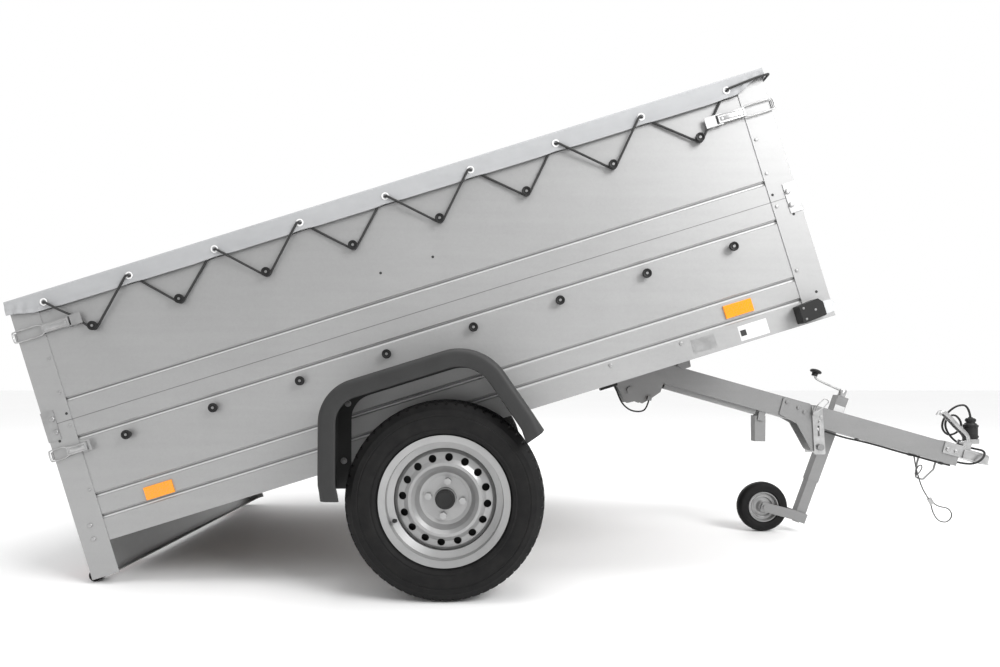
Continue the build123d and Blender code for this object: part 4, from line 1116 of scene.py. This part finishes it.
class Cords:
    """The free cables: plug cable, breakaway cable and the loop over the tipping hinge."""

    def __init__(self, wardrobe: Wardrobe) -> None:
        """Keeps the wardrobe."""
        self.wardrobe = wardrobe

    def curve(self, name: str, points: Sequence[Vector], radius: float, finish: Finish) -> bpy.types.Object:
        """Finely rounded cord in its finish."""
        cord = round_curve(name, points, radius, (6, 14))
        self.wardrobe.dress(cord, finish)
        return cord

    def plug(self) -> bpy.types.Object:
        """Round plug: rounded end, ribbed body and a gland nut, parked upright in its holder."""
        outline = [(0, -0.0500), (0.0190, -0.0500), (0.0230, -0.0470), (0.0250, -0.0400),
                   (0.0250, -0.0345), (0.0278, -0.0335), (0.0278, -0.0268), (0.0250, -0.0255),
                   (0.0250, 0.0030), (0.0238, 0.0090), (0.0270, 0.0105), (0.0270, 0.0168),
                   (0.0225, 0.0182), (0.0200, 0.0230), (0.0160, 0.0250), (0.0150, 0.0285),
                   (0.0176, 0.0295), (0.0176, 0.0400), (0.0150, 0.0430), (0.0085, 0.0448),
                   (0.0078, 0.0475), (0, 0.0480)]
        body = lathe("plug_body", outline, 56)
        ribs = []
        for index in range(10):
            rib = brick("rib", (0.0170, -0.0012, 0.0302), (0.0188, 0.0012, 0.0394), 0.0005)
            ribs.append(Bench.settle(rib, Matrix.Rotation(math.radians(36 * index), 4, "Z")))
        lugs = [brick("lug", (-0.0300, -0.0050, 0.0060), (-0.0240, 0.0050, 0.0120), 0.0015),
                brick("lug", (0.0240, -0.0050, 0.0060), (0.0300, 0.0050, 0.0120), 0.0015)]
        plug = Bench.join("parked_plug", [body] + ribs + lugs)
        Bench.settle(plug, Matrix.Translation(BAR.at(1.384, 0.041, 0.226)))
        self.wardrobe.dress(plug, Finish.BLACK)
        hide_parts("connector_plug")
        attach(plug, "drawbar_front")
        return plug

    def clipped_lead(self) -> None:
        """Lead held by its clips along the underside of the front tube."""
        route = [(0.790, 0.0535), (0.860, 0.0490), (0.930, 0.0545), (1.010, 0.0560), (1.090, 0.0545),
                 (1.160, 0.0560), (1.240, 0.0555), (1.300, 0.0575)]
        lead = wire("clipped_lead", [BAR.at(x, -0.020, z) for x, z in route], 0.0036)
        self.wardrobe.dress(lead, Finish.JACKET)
        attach(lead, "drawbar_front")

    def plug_cable(self) -> None:
        """Cable from the open end of the drawbar, wound beside the handle, to the parked plug."""
        route = [(1.318, -0.016, 0.078), (1.346, -0.034, 0.078), (1.374, -0.052, 0.090),
                 (1.396, -0.055, 0.120), (1.404, -0.040, 0.148), (1.398, 0.0, 0.150),
                 (1.370, 0.033, 0.150), (1.332, 0.054, 0.168), (1.290, 0.052, 0.204),
                 (1.277, 0.040, 0.240), (1.302, 0.034, 0.268), (1.348, 0.042, 0.238),
                 (1.362, 0.076, 0.200), (1.330, 0.084, 0.178), (1.288, 0.074, 0.206),
                 (1.284, 0.058, 0.262), (1.312, 0.048, 0.306), (1.352, 0.043, 0.316),
                 (1.3714, 0.041, 0.2706)]
        points = [BAR.at(*spot) for spot in route]
        cord = self.curve("plug_lead", points, 0.004, Finish.JACKET)
        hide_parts("plug_cable")
        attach(cord, "drawbar_front")
        tuple(points[0])
        self.plug()

    def hook_point(self, forward: float, up: float) -> Vector:
        """Point hung from the rod hook, level and plumb."""
        return BAR.at(1.206, -0.007, -0.024) + Vector((forward, 0, up))

    def safety_cable(self) -> None:
        """Breakaway cable with its carabiner, ferrule and end loop."""
        route = [(-0.020, 0.0871), (-0.014, 0.050), (-0.003, 0.006), (0.014, -0.044), (0.045, -0.092),
                 (0.054, -0.136), (0.076, -0.170), (0.112, -0.176), (0.134, -0.148), (0.118, -0.118),
                 (0.076, -0.112), (0.052, -0.094), (0.045, -0.082)]
        points = [self.hook_point(*spot) for spot in route]
        cord = self.curve("breakaway_cable", points, 0.0025, Finish.DARK_STEEL)
        ferrule = self.ferrule()
        clip = self.carabiner()
        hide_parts("safety_cable")
        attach(cord, "drawbar_front")
        tuple(points[0])

    def ferrule(self) -> bpy.types.Object:
        """Pressed sleeve that closes the end loop."""
        Bench.clear()
        bpy.ops.mesh.primitive_cylinder_add(vertices=28, radius=0.0052, depth=0.026)
        sleeve = Bench.take("cable_ferrule")
        Bench.pick_faces(sleeve, lambda face: abs(face.normal.z) > FACING)
        bpy.ops.mesh.bevel(offset=0.0016, segments=3)
        Bench.done()
        sleeve.data.transform(Matrix.Diagonal((1.75, 1.0, 1.0, 1.0)))
        Bench.smooth(sleeve)
        self.wardrobe.dress(sleeve, Finish.ZINC)
        spot = Matrix.Translation(self.hook_point(0.0455, -0.0900))
        Bench.settle(sleeve, spot @ Matrix.Rotation(math.radians(-30), 4, "Y"))
        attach(sleeve, "drawbar_front")
        return sleeve

    def carabiner(self) -> bpy.types.Object:
        """Small spring hook on the upper end of the cable."""
        path = [(0, 0, 0.026), (0.007, 0, 0.022), (0.009, 0, 0.008), (0.006, 0, -0.014), (0, 0, -0.021),
                (-0.006, 0, -0.014), (-0.009, 0, 0.008), (-0.007, 0, 0.022), (0, 0, 0.026)]
        spot = Matrix.Translation(self.hook_point(-0.004, 0.030))
        place = spot @ Matrix.Rotation(math.radians(30), 4, "Y")
        form = self.curve("spring_hook", [place @ Vector(knot) for knot in path], 0.0021, Finish.DARK_STEEL)
        hook = Bench.meshed(form, "spring_hook")
        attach(hook, "drawbar_front")
        return hook

    def centre_line(self, cord: bpy.types.Object) -> list[Point]:
        """Points along a cord's own smooth line, read from its spline."""
        thickness = cord.data.bevel_depth
        cord.data.bevel_depth = 0.0
        bpy.context.view_layer.update()
        line = bpy.data.meshes.new_from_object(cord.evaluated_get(bpy.context.evaluated_depsgraph_get()))
        points = [tuple(vertex.co) for vertex in line.vertices]
        bpy.data.meshes.remove(line)
        cord.data.bevel_depth = thickness
        bpy.context.view_layer.update()
        return points

    def hinge_loop(self) -> None:
        """Slack cable from the junction box to the drawbar, over the tipping hinge."""
        route = [(1.782, -0.062, -0.0463), (1.783, -0.061, -0.086), (1.790, -0.058, -0.124),
                 (1.812, -0.055, -0.156), (1.846, -0.051, -0.172), (1.8743, -0.046, -0.1706),
                 (1.8943, -0.046, -0.1398)]
        points = [BED.at(*spot) for spot in route]
        cord = self.curve("hinge_lead", points, 0.003, Finish.JACKET)
        line = self.centre_line(cord)
        tube = Bench.meshed(cord, "hinge_lead")
        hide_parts("hinge_cable")
        tuple(points[1])
        tuple(points[-1])
        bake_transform(tube)
        tuple(line[0])

    def build(self) -> None:
        """Builds the three cables."""
        self.plug_cable()
        self.clipped_lead()
        self.safety_cable()
        self.hinge_loop()
        log.info("cords built")


# ---------------------------------------------------------------- latches


@dataclass
class Latches:
    """Six toggle latches: a pressed channel lever with rolled end, and a wire bail."""

    wardrobe: Wardrobe
    axis_out: float = 0.6435
    wire_r: float = 0.0022
    bail_half: float = 0.017
    reach: float = 0.008

    def lever(self, length: float) -> bpy.types.Object:
        """Channel lever along +X from its pivot, open to the box side, which is -Y."""
        Bench.clear()
        lever = brick("lever", (-0.004, -0.0035, -0.013), (length, 0.006, 0.013))
        Bench.pick_faces(lever, lambda face: face.normal.y < -FACING)
        bpy.ops.mesh.delete(type="FACE")
        Bench.done()
        Bench.pick_faces(lever, lambda face: face.normal.y > FACING)
        bpy.ops.mesh.inset(thickness=0.0042)
        bpy.ops.mesh.extrude_region_move(TRANSFORM_OT_translate={"value": (0, -0.0014, 0)})
        bpy.ops.mesh.inset(thickness=0.0024)
        bpy.ops.mesh.extrude_region_move(TRANSFORM_OT_translate={"value": (0, 0.0010, 0)})
        Bench.done()
        Bench.add(lever, "BEVEL", width=0.0009, segments=2, limit_method="ANGLE")
        Bench.add(lever, "SOLIDIFY", thickness=0.0012, offset=-1.0)
        Bench.smooth(lever, 40)
        return lever

    def pattern(self, pivot: float, length: float) -> bpy.types.Object:
        """One latch, its pivot at the origin and its bail towards +X."""
        root, tip = length, pivot + self.reach
        half, low = self.bail_half, 0.001
        route = [(root - 0.008, low, -0.008), (root + 0.008, low, -half), (tip, 0, -half), (tip, 0, half),
                 (root + 0.008, low, half), (root - 0.008, low, 0.008)]
        bail = wire("bail", [Vector(spot) for spot in route], self.wire_r, 0.004)
        button = [(0, 0.0062), (0.0034, 0.0062), (0.0040, 0.0056), (0.0040, 0.0030), (0, 0.0030)]
        rivets = []
        for spot in (0.010, length - 0.010):
            place = Matrix.Translation((spot, 0, 0)) @ Matrix.Rotation(-math.pi / 2, 4, "X")
            rivets.append(Bench.settle(lathe("rivet", button, 20), place))
        pin = lathe("pin", [(0, -0.0125), (0.0029, -0.0125), (0.0029, 0.0125), (0, 0.0125)], 20)
        Bench.settle(pin, Matrix.Translation((root - 0.008, low, 0)))
        return Bench.join("latch", [self.lever(length), bail, pin] + rivets)

    def build(self) -> None:
        """Mounts the six latches in place of the plain ones."""
        upper = self.pattern(0.165, 0.080)
        lower = self.pattern(0.106, 0.058)
        for side in Side:
            name = side.word
            for node, latch, x, z, end in (("upper_rear", upper, 0.165, 0.6650, -1.0),
                                           ("upper_front", upper, BOX_LENGTH - 0.165, 0.6650, 1.0),
                                           ("tailgate", lower, 0.106, 0.2920, -1.0)):
                place = BED.matrix(x, side.value * self.axis_out, z)
                mirror = Matrix.Diagonal((end, side.value, 1, 1))
                piece = Bench.copy(latch, f"latch_{node}_{name}", place @ mirror)
                self.wardrobe.dress(piece, Finish.BRIGHT)
                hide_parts(f"latch_{node}_{name}")
                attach(piece, f"latch_{node}_{name}")
        for latch in (upper, lower):
            bpy.data.objects.remove(latch)
        log.info("latches built")


# ---------------------------------------------------------------- mudguards


@dataclass
class Mudguards:
    """Moulded arches: an inner flange, a crowned top and a rounded outer lip with a bead."""

    wardrobe: Wardrobe
    middle: float = 1.104
    foot_half: float = 0.324
    top_half: float = 0.233
    low: float = -0.053
    high: float = 0.236
    depth: float = 0.220
    lip: float = 0.050
    rear_corner: float = 0.125
    front_corner: float = 0.150

    def corner(self, before: Vector, at: Vector, after: Vector, radius: float) -> list[Vector]:
        """Arc that rounds one corner of the arch."""
        first, second = (before - at).normalized(), (after - at).normalized()
        half = first.angle(second) / 2
        centre = at + (first + second).normalized() * radius / math.sin(half)
        start = at + first * radius / math.tan(half) - centre
        sweep = math.pi - 2 * half
        return [centre + Matrix.Rotation(-sweep * step / 18, 2) @ start for step in range(19)]

    def line(self) -> list[tuple[Vector, Vector]]:
        """Points of the arch with their outward directions, from the rear foot to the front one."""
        corners = [Vector((self.middle + reach, height)) for reach, height in (
            (-self.foot_half, self.low), (-self.top_half, self.high), (self.top_half, self.high),
            (self.foot_half, self.low))]
        rear = self.corner(*corners[:3], self.rear_corner)
        front = self.corner(*corners[1:], self.front_corner)
        steps = [corners[0].lerp(rear[0], step / 10) for step in range(10)] + rear
        steps += [rear[-1].lerp(front[0], step / 14) for step in range(1, 14)] + front
        steps += [front[-1].lerp(corners[3], step / 10) for step in range(1, 11)]
        marked = []
        for index, spot in enumerate(steps):
            run = steps[min(index + 1, len(steps) - 1)] - steps[max(index - 1, 0)]
            marked.append((spot, Vector((-run.y, run.x)).normalized()))
        return marked

    def section(self) -> list[tuple[float, float]]:
        """Half-round section as (out from the box, in from the arch)."""
        arc = [math.radians(90 * step / 7) for step in range(8)]
        inner = [(0.0016, self.lip), (0.0016, 0.030), (0.0016, 0.010)]
        inner += [(0.0016 + 0.007 * (1 - math.cos(a)), 0.0095 - 0.0079 * math.sin(a)) for a in arc[1:]]
        top = [(0.010 + 0.188 * step / 12, 0.0016) for step in range(1, 12)]
        radius = 0.017
        outer = [(self.depth - radius - 0.0016 + radius * math.sin(a), 0.0016 + radius * (1 - math.cos(a)))
                 for a in arc]
        edge = self.depth - 0.0016
        bead = [(edge, 0.030), (edge, self.lip - 0.004), (edge - 0.0012, self.lip - 0.001),
                (edge - 0.0042, self.lip)]
        return inner + top + outer + bead

    def guard(self, side: Side) -> None:
        """One mudguard in place of the plain one."""
        arch, section = self.line(), self.section()

        def shape(u: float, v: float) -> Vector:
            """Point along the arch and across its section."""
            spot, outward = arch[round(u * (len(arch) - 1))]
            out, depth = section[round(v * (len(section) - 1))]
            end = ease(1 - min(u, 1 - u) / 0.035)
            point = spot - outward * (depth + 0.010 * end * ease((out - 0.17) / 0.05))
            return BED.at(point.x, side.value * (HALF_WIDTH + out), point.y)

        name = "mudguard_" + side.word
        guard = grid_sheet(name, len(arch) - 1, len(section) - 1, shape)
        Bench.tidy(guard)
        Bench.add(guard, "SOLIDIFY", thickness=0.0028, offset=0.0)
        Bench.smooth(guard, 50)
        self.wardrobe.dress(guard, Finish.GUARD)
        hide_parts(name)
        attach(guard, "chassis")

    def bolts(self, side: Side) -> None:
        """Bolts with washers through the inner flange."""
        arch = self.line()
        head = [(0, 0.0062), (0.0040, 0.0058), (0.0062, 0.0030), (0.0064, 0.0016), (0.0098, 0.0014),
                (0.0098, 0.0), (0, 0.0)]
        places = []
        for share in (0.06, 0.24, 0.50, 0.76, 0.94):
            spot, outward = arch[round(share * (len(arch) - 1))]
            point = spot - outward * 0.028
            place = BED.matrix(point.x, side.value * (HALF_WIDTH + 0.0030), point.y)
            places.append(place @ side.outward)
        row = studs("mudguard_bolts_" + side.word, head, places, 24)
        self.wardrobe.dress(row, Finish.ZINC)
        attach(row, "chassis")

    def build(self) -> None:
        """Builds both sides."""
        for side in Side:
            self.guard(side)
            self.bolts(side)
        log.info("mudguards built")


# ---------------------------------------------------------------- jockey crank and small trim


@dataclass
class Crank:
    """Crank of the jockey leg: spindle head, flat arm and a black hand knob."""

    wardrobe: Wardrobe
    along: float = 0.842
    out: float = 0.068
    tilt: float = math.radians(4.3)
    top: float = 0.213
    reach: float = -0.131

    def place(self) -> Matrix:
        """Frame of the jockey leg."""
        return BAR.matrix(self.along, self.out, 0.0) @ Matrix.Rotation(self.tilt, 4, "Y")

    def metal(self) -> bpy.types.Object:
        """Spindle, head, arm and the knob's post."""
        top = self.top
        spindle = lathe("spindle", [(radius, top + rise) for radius, rise in (
            (0, -0.200), (0.008, -0.200), (0.008, -0.012), (0.009, -0.010), (0.009, 0.0006), (0.0135, 0.0006),
            (0.0150, 0.0022), (0.0150, 0.0260), (0.0125, 0.0310), (0.0060, 0.0320), (0, 0.0320))])
        arm = wire("arm", [Vector((0.006, 0, top + 0.0235)), Vector((self.reach + 0.004, 0, top + 0.0300)),
                           Vector((self.reach, 0, top + 0.0577))], 0.0044, 0.012)
        washer = lathe("washer", [(0, top + 0.0405), (0.0088, top + 0.0405), (0.0088, top + 0.0422),
                                  (0, top + 0.0422)], 28)
        Bench.settle(washer, Matrix.Translation((self.reach, 0, 0)))
        return Bench.join("crank_arm", [spindle, arm, washer])

    def knob(self) -> bpy.types.Object:
        """Turned black knob with a waist."""
        base = self.top + 0.0425
        knob = lathe("crank_knob", [(radius, base + rise) for radius, rise in (
            (0, 0), (0.0100, 0), (0.0118, 0.0012), (0.0112, 0.0060), (0.0116, 0.0100), (0.0150, 0.0128),
            (0.0200, 0.0142), (0.0222, 0.0165), (0.0226, 0.0200), (0.0206, 0.0236), (0.0160, 0.0262),
            (0.0090, 0.0280), (0, 0.0286))])
        return Bench.settle(knob, Matrix.Translation((self.reach, 0, 0)))

    def label(self, place: Matrix) -> None:
        """Blank label wrapped on the near face of the leg's tube."""
        label = brick("jockey_label", (-0.0205, -0.0223, 0.146), (0.0205, -0.0220, 0.174))
        Bench.settle(label, place)
        self.wardrobe.dress(label, Finish.LABEL)
        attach(label, "drawbar_front")

    def build(self) -> None:
        """Mounts the crank in place of the plain one."""
        place = self.place()
        self.label(place)
        metal, knob = self.metal(), self.knob()
        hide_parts("jockey_crank")
        for piece, finish, name in ((metal, Finish.BRIGHT, "zinc_plate"),
                                    (knob, Finish.BLACK, "black_plastic")):
            Bench.settle(piece, place)
            self.wardrobe.dress(piece, finish)
            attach(piece, "jockey_crank")
        log.info("crank built")


@dataclass
class JockeyWheel:
    """Small wheel of the jockey leg: solid tyre with a stepped wall, and a ringed pressed rim."""

    wardrobe: Wardrobe
    place: Matrix
    centre: Point = (-0.151, 0.0, -0.317)
    tyre_half: tuple[tuple[float, float], ...] = (
        (0.0612, 0.0200), (0.0640, 0.0238), (0.0690, 0.0250), (0.0705, 0.0243), (0.0722, 0.0250),
        (0.0850, 0.0250), (0.0866, 0.0243), (0.0884, 0.0246), (0.0925, 0.0222), (0.0966, 0.0176),
        (0.0974, 0.0150), (0.0962, 0.0140), (0.0964, 0.0118), (0.0984, 0.0108), (0.0998, 0.0060))
    rim_half: tuple[tuple[float, float], ...] = (
        (0.0607, 0.0200), (0.0596, 0.0216), (0.0570, 0.0212), (0.0548, 0.0150), (0.0528, 0.0098),
        (0.0505, 0.0074), (0.0462, 0.0070), (0.0444, 0.0098), (0.0410, 0.0108), (0.0382, 0.0094),
        (0.0366, 0.0062), (0.0320, 0.0054), (0.0256, 0.0060), (0.0232, 0.0130), (0.0218, 0.0222),
        (0.0200, 0.0240), (0.0081, 0.0240))

    def turned(self, name: str, half: Sequence[tuple[float, float]], finish: Finish) -> None:
        """Turns one half outline and its mirror, and mounts the piece."""
        outline = list(half) + [(radius, -out) for radius, out in half[::-1]] + [half[0]]
        piece = lathe(name, outline, 72)
        turn = Matrix.Translation(self.centre) @ Matrix.Rotation(math.pi / 2, 4, "X")
        Bench.settle(piece, self.place @ turn)
        self.wardrobe.dress(piece, finish)
        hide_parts(name)
        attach(piece, "jockey_wheel")

    def build(self) -> None:
        """Builds tyre and rim."""
        self.turned("jockey_tyre", self.tyre_half, Finish.TYRE)
        self.turned("jockey_rim", self.rim_half, Finish.SILVER)
        log.info("jockey wheel built")


@dataclass
class Handle:
    """Pressed lift handle of the coupling: a channel with a curled tip, over a round hub."""

    wardrobe: Wardrobe
    half: float = 0.0120
    deep: float = 0.0150

    def line(self) -> list[Vector]:
        """Smooth top line of the channel in the drawbar's frame."""
        knots = [Vector(spot) for spot in ((1.356, 0.152), (1.358, 0.176), (1.342, 0.200), (1.300, 0.224),
                                           (1.256, 0.251), (1.232, 0.261), (1.217, 0.255), (1.212, 0.240))]
        line = []
        ahead = knots[2:] + [knots[-1]]
        for before, first, second, after in zip([knots[0]] + knots, knots, knots[1:], ahead):
            for step in range(8):
                t = step / 8
                line.append(first + ((second - before) * t
                                     + (2 * before - 5 * first + 4 * second - after) * t * t
                                     + (3 * first - before - 3 * second + after) * t ** 3) / 2)
        return line + [knots[-1]]

    def build(self) -> None:
        """Mounts the handle in place of the plain one."""
        line = self.line()
        half, deep = self.half, self.deep
        section = [(-half, deep), (-half, deep * 0.5), (-half, 0.0030), (-half + 0.0009, 0.0009),
                   (-half + 0.0030, 0), (-0.0050, 0), (-0.0040, 0.0012), (0.0, 0.0014), (0.0040, 0.0012),
                   (0.0050, 0), (half - 0.0030, 0), (half - 0.0009, 0.0009), (half, 0.0030),
                   (half, deep * 0.5), (half, deep)]

        def shape(u: float, v: float) -> Vector:
            """Point along the handle and across its section."""
            index = round(u * (len(line) - 1))
            run = line[min(index + 1, len(line) - 1)] - line[max(index - 1, 0)]
            out, depth = section[round(v * (len(section) - 1))]
            inward = Vector((-run.y, run.x)).normalized()
            spot = line[index] + inward * depth * (1 - 0.55 * ease((u - 0.72) / 0.28))
            return BAR.at(spot.x, out, spot.y)

        channel = grid_sheet("channel", len(line) - 1, len(section) - 1, shape)
        Bench.tidy(channel)
        Bench.add(channel, "SOLIDIFY", thickness=0.0020, offset=0.0)
        Bench.smooth(channel, 40)
        hub = lathe("hub", [(0.0052, -0.0160), (0.0110, -0.0160), (0.0110, 0.0160), (0.0052, 0.0160),
                            (0.0052, -0.0160)], 40)
        Bench.settle(hub, BAR.matrix(1.345, 0, 0.158) @ Matrix.Rotation(math.pi / 2, 4, "X"))
        handle = Bench.join("lift_handle", [channel, hub])
        self.wardrobe.dress(handle, Finish.BRIGHT)
        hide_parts("coupling_handle")
        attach(handle, "coupling_handle")
        log.info("handle built")


@dataclass
class Trim:
    """Small flat trim on the box: blank labels, dark discs painted as the shade in the open rivet holes, and
    dark discs behind the wheels painted as the shade seen through the wheel vents.
    """

    wardrobe: Wardrobe
    holes: tuple[tuple[float, float], ...] = ((0.074, 0.403), (0.030, 0.329), (1.105, 0.528), (1.270, 0.528),
                                              (2.345, 0.085), (2.305, 0.403), (2.349, 0.329))
    post_width: float = 0.085
    post_proud: float = 0.0020
    lamp_out: float = 0.6790
    shade_disc_r: float = 0.1425

    def label(self) -> None:
        """White blank label with a dark square, and a small bare plate, on the right side."""
        out = -(HALF_WIDTH + 0.0004)
        paper = brick("label_paper", (2.086, out, 0.008), (2.176, out + 0.0003, 0.054))
        square = brick("label_square", (2.090, out - 0.0002, 0.022), (2.108, out, 0.040))
        plate = brick("data_plate", (1.938, out, 0.014), (2.012, out + 0.0003, 0.056))
        for piece, finish, name in ((paper, Finish.LABEL, "zinc_plate"),
                                    (square, Finish.PRINT, "black_plastic"),
                                    (plate, Finish.ZINC, "zinc_plate")):
            Bench.settle(piece, BED.matrix())
            self.wardrobe.dress(piece, finish)
            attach(piece, "chassis")

    def spare_holes(self) -> None:
        """Dark discs that stand in the open rivet holes on both sides, painted as the shade inside them."""
        plug = [(0, 0.0006), (0.0036, 0.0006), (0.0042, 0.0002), (0.0042, -0.0008), (0, -0.0008)]
        places = []
        for side in Side:
            for x, z in self.holes:
                on_post = min(x, BOX_LENGTH - x) < self.post_width
                face = HALF_WIDTH + (self.post_proud if on_post else 0.0)
                places.append(BED.matrix(x, side.value * face, z) @ side.outward)
        row = studs("hole_shade_discs", plug, places)
        # Painted shade: these discs show the open holes dark.
        self.wardrobe.dress(row, Finish.PRINT)
        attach(row, "chassis")

    def lamp_screws(self) -> None:
        """Screws in the face of both front lamps."""
        head = [(0, 0.0016), (0.0030, 0.0014), (0.0038, 0.0002), (0.0038, -0.0006), (0, -0.0006)]
        spots = ((2.273, 0.050), (2.273, 0.017), (2.306, 0.036))
        row = studs("lamp_screws", head, [BED.matrix(x, side.value * self.lamp_out, z) @ side.outward
                                          for side in Side for x, z in spots])
        self.wardrobe.dress(row, Finish.SCREW)
        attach(row, "chassis")

    def shade_disc(self, side: Side) -> None:
        """Thin dished dark disc between the wheel disc and the axle arm, painted as the shade seen through
        the wheel vents.
        """
        inner, edge = 0.040, self.shade_disc_r
        profile = [(inner, -0.0060), (0.080, -0.0060), (edge - 0.012, -0.0010), (edge, -0.0090),
                   (edge - 0.0016, -0.0105), (edge - 0.0125, -0.0026), (0.080, -0.0076), (inner, -0.0076),
                   (inner, -0.0060)]
        shade_disc = lathe("painted_shade_disc_" + side.word, profile, 64)
        place = Matrix.Translation((WHEEL.x, side.value * (WHEEL.y - 0.004), WHEEL.z))
        Bench.settle(shade_disc, place @ side.outward)
        # Painted shade: the dark disc makes the wheel vents look dark.
        self.wardrobe.dress(shade_disc, Finish.PRINT)
        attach(shade_disc, "axle_arm_" + side.word)

    def build(self) -> None:
        """Builds all the trim."""
        self.label()
        self.spare_holes()
        self.lamp_screws()
        for side in Side:
            self.shade_disc(side)
        log.info("trim built")


# ---------------------------------------------------------------- dressing of the carried-over pieces


class CarriedPieces:
    """Finishes of the CAD pieces that keep their own shape."""

    finishes: dict[Finish, tuple[str, ...]] = {
        Finish.SHEET: ("lower_side_left", "lower_side_right", "upper_side_left", "upper_side_right",
                       "front_board", "tailgate", "upper_rear_board", "upper_front_board"),
        Finish.POST: ("corner_posts", "lamp_beam"),
        Finish.TUBE: ("floor_frame", "axle_beam", "axle_arm_left", "axle_arm_right", "drawbar_rear",
                      "drawbar_front", "tip_lock", "jockey_outer_tube", "jockey_leg", "jockey_fork",
                      "fold_gussets"),
        Finish.ZINC: ("zinc_hardware", "fold_lock_pin", "coupling_body", "hub_left", "hub_right"),
        Finish.BRIGHT: ("fold_plates",),
        Finish.DARK_STEEL: ("coupling_jaw",),
        Finish.SILVER: ("rim_left", "rim_right"),
        Finish.TYRE: ("stand_rollers",),
        Finish.BLACK: ("lamp_housings", "junction_box"),
        Finish.BRAID: ("cover_lacing",),
        Finish.ORANGE: ("side_reflectors",),
        Finish.WHITE_LENS: ("front_lamp_lenses",),
        Finish.RED_LENS: ("rear_lamp_lenses",),
        Finish.WOOD: ("floor_panel",),
    }

    def __init__(self, wardrobe: Wardrobe) -> None:
        """Keeps the wardrobe."""
        self.wardrobe = wardrobe

    def build(self) -> None:
        """Dresses every carried-over piece."""
        for finish, names in self.finishes.items():
            for name in names:
                self.wardrobe.dress(frame["nodes"][name], finish)
        log.info("carried pieces dressed")


# ---------------------------------------------------------------- studio


@dataclass
class Studio:
    """Pale floor, soft lights and the camera."""

    stand_off: float = 2.0
    eye: float = 0.6225
    ahead: float = 0.1264
    lens: float = 23.83
    shift: tuple[float, float] = (0.010, 0.0445)

    def floor(self) -> None:
        """Large pale floor with a soft tone."""
        Bench.clear()
        bpy.ops.mesh.primitive_plane_add(size=60)
        floor = Bench.take("studio_floor")
        Bench.settle(floor, Matrix.Translation((0, 0, -0.0005)))
        paint = Paint("floor_paint")
        paint.set(Base_Color=paint.mix(paint.noise(0.4, 2.0), grey(0.93), grey(0.96)), Roughness=0.7)
        floor.data.materials.append(paint.material)

    def sky(self, tree: bpy.types.NodeTree) -> None:
        """White behind and above the trailer, greyer low down in front of it."""
        direction = tree.nodes.new("ShaderNodeTexCoord").outputs["Generated"]
        lean = tree.nodes.new("ShaderNodeVectorMath")
        lean.operation = "DOT_PRODUCT"
        lean.inputs[1].default_value = (0, 1, 1)
        ramp = tree.nodes.new("ShaderNodeMapRange")
        for name, value in (("From Min", -0.80), ("From Max", -0.10), ("To Min", 0.58), ("To Max", 1.0)):
            ramp.inputs[name].default_value = value
        tree.links.new(direction, lean.inputs[0])
        tree.links.new(lean.outputs["Value"], ramp.inputs["Value"])
        tree.links.new(ramp.outputs[0], tree.nodes["Background"].inputs["Color"])

    def light(self, name: str, place: Point, aim: Point, size: float, power: float) -> None:
        """One square soft light."""
        data = bpy.data.lights.new(name, "AREA")
        data.size = size
        data.energy = power
        lamp = bpy.data.objects.new(name, data)
        lamp.location = place
        lamp.rotation_euler = (Vector(aim) - Vector(place)).to_track_quat("-Z", "Y").to_euler()
        bpy.context.collection.objects.link(lamp)

    def build(self) -> None:
        """Builds floor, world, lights and camera."""
        self.floor()
        world = bpy.data.worlds.new("studio_world")
        world.use_nodes = True
        self.sky(world.node_tree)
        bpy.context.scene.world = world
        self.light("key_light", (2.9, -3.4, 3.4), (0.6, 0, 0.9), 2.2, 185)
        self.light("top_light", (0.0, -0.6, 5.2), (0, 0, 0.5), 3.0, 110)
        self.light("back_light", (1.0, 5.0, 3.0), (0, 0, 0.5), 3.0, 60)
        data = bpy.data.cameras.new("camera")
        data.lens = self.lens
        data.sensor_width = 36.0
        data.shift_x, data.shift_y = self.shift
        data.clip_end = 200
        camera = bpy.data.objects.new("camera", data)
        camera.location = (WHEEL.x + self.ahead, -HALF_WIDTH - self.stand_off, self.eye)
        camera.rotation_euler = (math.pi / 2, 0, 0)
        bpy.context.collection.objects.link(camera)
        bpy.context.scene.camera = camera
        bpy.context.scene.view_settings.view_transform = "Standard"
        log.info("studio built")


def main() -> None:
    """Builds every sub-assembly in order."""
    logging.basicConfig(level=logging.INFO)
    wardrobe = Wardrobe()
    Studio().build()
    Cords(wardrobe).build()
    CarriedPieces(wardrobe).build()
    Wheels(wardrobe).build()
    FlatCover(wardrobe).build()
    Latches(wardrobe).build()
    Mudguards(wardrobe).build()
    crank = Crank(wardrobe)
    crank.build()
    JockeyWheel(wardrobe, crank.place()).build()
    Handle(wardrobe).build()
    Trim(wardrobe).build()
    CoverHooks(wardrobe).build()
    bpy.context.view_layer.update()


if __name__ == "__main__":
    main()
